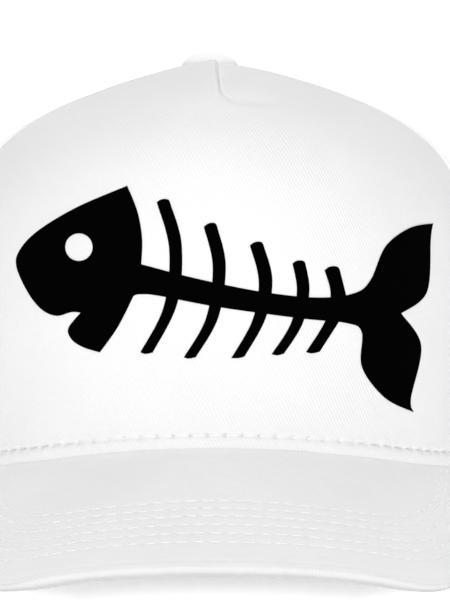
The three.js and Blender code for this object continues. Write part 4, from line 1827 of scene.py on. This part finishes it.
@dataclass
class Fishbone:
    """The printed figure, drawn as [right, up] from its middle, in millimetres."""

    ink: bpy.types.Material
    centre: tuple[float, float] = (2.6, 46.4)
    film: tuple[float, float] = (0.03, 0.2)
    plate: float = 10
    cell: float = 3
    reach: tuple[float, float] = (63, 39)
    eye_centre: tuple[float, float] = (-42.3, 11.8)
    eye_radius: float = 4
    head: tuple[Outline, ...] = (
        [
            (-28.31, 29.57), (-42.94, 23.32), (-54.14, 16.54), (-59.39, 10.95), (-60.33, 6.15),
            (-57.01, -1.34), (-53.05, -6.25), (-48.83, -8.09), (-44.49, -7.04), (-41.78, -7.19),
        ],
        [(-41.78, -7.19), (-45.3, -11.62), (-44.44, -14.84), (-41.14, -17.16), (-36.24, -18.67)],
        [(-36.24, -18.67), (-30.92, -11.12), (-25.67, -0.63)],
        [(-25.67, -0.63), (-24.32, 6.13)],
        [(-24.32, 6.13), (-23.99, 13.93), (-25.3, 21.94), (-28.31, 29.57)],
    )
    spine_and_tail: tuple[Outline, ...] = (
        [
            (-24.51, 6.92), (-7.68, 2.58), (10.81, -1.14), (26.78, -2.8), (37.48, -1.52),
            (42.17, 2.34), (46.47, 11.97), (53.34, 17.29), (60.2, 18.7),
        ],
        [(60.2, 18.7), (59.53, 14.27), (58.42, -1.18), (51, -7.4)],
        [(51, -7.4), (56.76, -16.85), (53.77, -32), (54.6, -36)],
        [
            (54.6, -36), (46.22, -31.81), (39.66, -22.95), (39.59, -12.89), (35.18, -10.21),
            (22.05, -8.87), (-1.75, -5.6), (-19.2, -2.3), (-24, -1.85), (-26.3, -2.25), (-27.6, -4),
        ],
        [(-27.6, -4), (-33, -2)],
        [(-33, -2), (-31, 7)],
        [(-31, 7), (-24.51, 6.92)],
    )
    ribs: tuple[tuple[Outline, ...], ...] = (
        (
            [(-19.76, 24.8), (-16.15, 11.13), (-17.74, -5.45), (-24.51, -18.69)],
            [(-24.51, -18.69), (-23.04, -19.15), (-20.93, -18.73)],
            [(-20.93, -18.73), (-13.77, -4.38), (-12.53, 12.46), (-15.9, 24.7)],
            [(-15.9, 24.7), (-16.35, 25.5), (-17.6, 25.75), (-18.8, 25.45), (-19.76, 24.8)],
        ),
        (
            [(-6.14, 17.65), (-3.57, 6.17), (-5.48, -8.67), (-11.93, -20.17)],
            [(-11.93, -20.17), (-10.63, -20.49), (-8.48, -20.12)],
            [(-8.48, -20.12), (-1.93, -8.56), (0.22, 6.49), (-2.3, 17.9)],
            [(-2.3, 17.9), (-2.8, 18.65), (-3.9, 18.87), (-5.1, 18.5), (-6.14, 17.65)],
        ),
        (
            [(7.2, 12.3), (9.76, 1.98), (7.93, -9.36), (1.8, -20.38)],
            [(1.8, -20.38), (3.95, -20.36), (5.63, -19.92)],
            [(5.63, -19.92), (11.69, -8.97), (13.7, 2.41), (11.1, 12.5)],
            [(11.1, 12.5), (10.65, 13.2), (9.6, 13.4), (8.3, 13.1), (7.2, 12.3)],
        ),
        (
            [(19.56, 7.0), (20.81, -0.75), (19.06, -10.32), (13.48, -19.25)],
            [(13.48, -19.25), (15.22, -19.54), (17.06, -19.05)],
            [(17.06, -19.05), (22.44, -10.38), (24.42, -0.72), (23.3, 6.9)],
            [(23.3, 6.9), (22.85, 7.7), (21.7, 7.97), (20.5, 7.75), (19.56, 7.0)],
        ),
        (
            [(28.85, 5.1), (30.58, -1.72), (29.02, -9.56), (23.45, -18.61)],
            [(23.45, -18.61), (25.18, -18.98), (27.36, -18.52)],
            [(27.36, -18.52), (34.31, -7.55), (35.34, -4.16), (33.2, 5.2)],
            [(33.2, 5.2), (32.7, 6.0), (31.4, 6.3), (30.0, 6.0), (28.85, 5.1)],
        ),
    )

    def build(self) -> None:
        """Cuts the figure's pieces flat, joins them and presses them onto the front panel."""
        outlines = (self.head, self.spine_and_tail, *self.ribs)
        plates = [self.flat_plate(self.curved(outline)) for outline in outlines]
        figure = plates[0]
        for plate in plates[1:]:
            modify(figure, "BOOLEAN", operation="UNION", solver="EXACT", object=plate)
            bpy.data.objects.remove(plate)
        deselect()
        radius, depth = self.eye_radius * MM, 4 * self.plate * MM
        bpy.ops.mesh.primitive_cylinder_add(vertices=64, radius=radius, depth=depth)
        eye = named("eye_tool")
        right, up = self.eye_centre
        turn = Matrix.Rotation(math.pi / 2, 4, "X")
        eye.data.transform(Matrix.Translation((right * MM, 0, up * MM)) @ turn)
        modify(figure, "BOOLEAN", operation="DIFFERENCE", solver="EXACT", object=eye)
        bpy.data.objects.remove(eye)
        self.cut_cells(figure)
        self.press(figure)
        figure.name = figure.data.name = "fishbone_film"
        smooth_shade(figure, 30)
        dress(figure, self.ink, "ink", "fishbone_print")

    def curved(self, stretches: tuple[Outline, ...], steps: int = 12) -> Array:
        """An outline through stretches of points, smooth along each."""
        found: list[tuple[float, float]] = []
        for stretch in stretches:
            line = np.array(stretch, float)
            last = len(line) - 1
            for k in range(last):
                p0, p1, p2, p3 = (line[min(max(i, 0), last)] for i in (k - 1, k, k + 1, k + 2))
                for t in np.arange(steps) / steps:
                    v0, v1 = (p2 - p0) / 2, (p3 - p1) / 2
                    point = (2 * p1 - 2 * p2 + v0 + v1) * t**3 + (-3 * p1 + 3 * p2 - 2 * v0 - v1) * t**2
                    found.append(tuple(point + v0 * t + p1))
            found.append(tuple(line[-1]))
        kept = [p for p, q in zip(found, found[1:] + found[:1]) if math.dist(p, q) > 1e-6]
        return np.array(kept)

    def flat_plate(self, outline: Array) -> bpy.types.Object:
        """A thick plate of the given outline, upright and facing -Y."""
        deselect()
        bpy.ops.mesh.primitive_circle_add(vertices=len(outline), fill_type="NGON")
        plate = named("plate")
        set_coordinates(plate.data, stack(outline[:, 0], 0, outline[:, 1]) * MM)
        modify(plate, "SOLIDIFY", thickness=self.plate * MM, offset=0)
        edit(plate, lambda: bpy.ops.mesh.normals_make_consistent(inside=False))
        return plate

    def cut_cells(self, figure: bpy.types.Object) -> None:
        """Cuts the plate's faces along a grid, so that it can bend."""
        activate(figure)
        bpy.ops.object.mode_set(mode="EDIT")
        for normal, reach in zip((Vector((1, 0, 0)), Vector((0, 0, 1))), self.reach):
            for step in np.arange(-reach, reach, self.cell) + 0.37:
                bpy.ops.mesh.select_all(action="SELECT")
                bpy.ops.mesh.bisect(plane_co=normal * (step * MM), plane_no=normal)
        bpy.ops.mesh.select_all(action="SELECT")
        bpy.ops.mesh.quads_convert_to_tris()
        bpy.ops.object.mode_set(mode="OBJECT")

    def press(self, figure: bpy.types.Object) -> None:
        """Moves the plate's two faces along the lines of sight onto the front panel's cloth."""
        panel = bpy.data.objects["front_panel_cloth"]
        flat = coordinates(figure.data)
        right, up = flat[:, 0] / MM + self.centre[0], flat[:, 2] / MM + self.centre[1]
        eye = SIGHT.eye
        aims = unit(SIGHT.on_plane(right, up) - eye)
        pressed = []
        for aim, front in zip(aims, flat[:, 1] < 0):
            hit, place, facing, _ = panel.ray_cast(Vector(eye), Vector(aim))
            if not hit:
                raise RuntimeError("the figure reaches past the front panel")
            pressed.append(place + facing * self.film[1 if front else 0] * MM)
        set_coordinates(figure.data, np.array(pressed))


@dataclass(frozen=True)
class Lamp:
    """A square soft box that faces the cap, by its place and size in metres and its power."""

    name: str
    place: tuple[float, float, float]
    size: float
    power: float

    def build(self) -> None:
        """Hangs the lamp."""
        aim = (Vector((0, 0, 0.07)) - Vector(self.place)).to_track_quat("-Z", "Y").to_euler()
        bpy.ops.object.light_add(type="AREA", location=self.place, rotation=aim)
        box = bpy.context.object
        box.name = self.name
        box.data.size = self.size
        box.data.energy = self.power


@dataclass
class Studio:
    """Floor, light and camera."""

    image: tuple[int, int] = (450, 600)
    scale: float = 3.45
    sensor: float = 36
    surround: float = 1.95
    side_shade: float = 1.0
    glow: tuple[float, float] = (0.28, 0.72)
    glow_reach: tuple[float, float] = (0.76, 1.12)
    footprint: tuple[float, float] = (0.095, 0.135)
    shadow_bow: float = 8.3
    shadow_reach: tuple[float, float] = (0.072, 0.138)
    lamps: tuple[Lamp, ...] = (
        Lamp("key_box", (0, -2.2, 0.24), 0.46, 12.8),
        Lamp("top_box", (0, 0.35, 1.6), 1.0, 4.5),
        Lamp("left_strip", (-1.0, 1.8, 0.5), 0.7, 4),
        Lamp("right_strip", (1.0, 1.8, 0.5), 0.7, 4),
    )

    def build(self) -> None:
        """Makes the stage."""
        self.floor()
        self.light()
        self.camera()

    def floor(self) -> None:
        """A plain pale floor that glows as painted light, less so under and round the cap, where this paints
        a soft shadow.
        """
        deselect()
        bpy.ops.mesh.primitive_plane_add(size=14)
        floor = named("floor")
        s = Shader("floor")
        x, y = s.parts(s.node("TexCoord", out="Object"))
        # Painted shadow: the glow is dimmer round the cap's footprint and in a bowed band under the visor's
        # front.
        across, along = (part * (1 / size) for part, size in zip((x, y), self.footprint))
        away = s.stretch((across * across + along * along).math("SQRT"), *self.glow_reach)
        ahead = s.stretch(y * -1.0 - x * x * self.shadow_bow, *self.shadow_reach)
        glow = s.blend(away.math("MAXIMUM", ahead), *self.glow)
        s.set(Base_Color=grey(0.9), Roughness=0.9, Specular_IOR_Level=0.0)
        s.set(Emission_Color=glow, Emission_Strength=1.0)
        floor.data.materials.append(s.material)

    def light(self) -> None:
        """A white surround that is dimmer at both sides, and the lamps."""
        world = bpy.data.worlds.new("surround")
        bpy.context.scene.world = world
        world.use_nodes = True
        sky = Nodes(world.node_tree)
        across, _ = sky.parts(sky.node("TexCoord", out="Generated"))
        front = 1 - across.math("ABSOLUTE") * self.side_shade
        surround = world.node_tree.nodes["Background"]
        sky.feed(surround.inputs["Color"], sky.blend(front * front, 0.0, 1.0))
        sky.feed(surround.inputs["Strength"], self.surround)
        for lamp in self.lamps:
            lamp.build()
        bpy.context.scene.view_settings.view_transform = "Standard"

    def camera(self) -> None:
        """The camera, in front of the cap and a little over it."""
        data = bpy.data.cameras.new("camera")
        data.sensor_width = self.sensor
        data.lens = self.sensor * self.scale * SIGHT.distance / max(self.image)
        data.clip_start, data.clip_end = 0.01, 100
        camera = bpy.data.objects.new("camera", data)
        bpy.context.scene.collection.objects.link(camera)
        camera.location = Vector(SIGHT.eye)
        camera.rotation_mode = "QUATERNION"
        camera.rotation_quaternion = Vector(SIGHT.direction).to_track_quat("-Z", "Y")
        bpy.context.scene.camera = camera


def main() -> None:
    """Builds the cap and its stage."""
    Studio().build()
    # One white twill in three copies whose levels differ for light and shade: the darker front copy is
    # painted shade, the lighter copy on the side and back panels and the button is painted light, and the
    # visor's level is set the same way.
    twill = Twill("front_twill_painted_shade", level=0.765).material()
    side_twill_painted_light = Twill("side_twill_painted_light", level=0.94).material()
    visor_twill = Twill("visor_twill", level=0.81, depth=0.02).material()
    lining = PlainWeave("lining").material()
    gauze = PlainWeave("gauze", pitch=1.3, open_level=0.62, depth=0.3).material()
    strap = Webbing().material()
    thread = Thread().material()
    sewing = Sewing(thread)
    Crown(twill, side_twill_painted_light, lining, gauze, sewing).build()
    Visor(visor_twill, sewing).build()
    Button(side_twill_painted_light).build()
    Eyelets(thread).build()
    Bands(lining, strap, sewing).build()
    Fishbone(Ink().material()).build()
    sewing.clear()


if __name__ == "__main__":
    main()
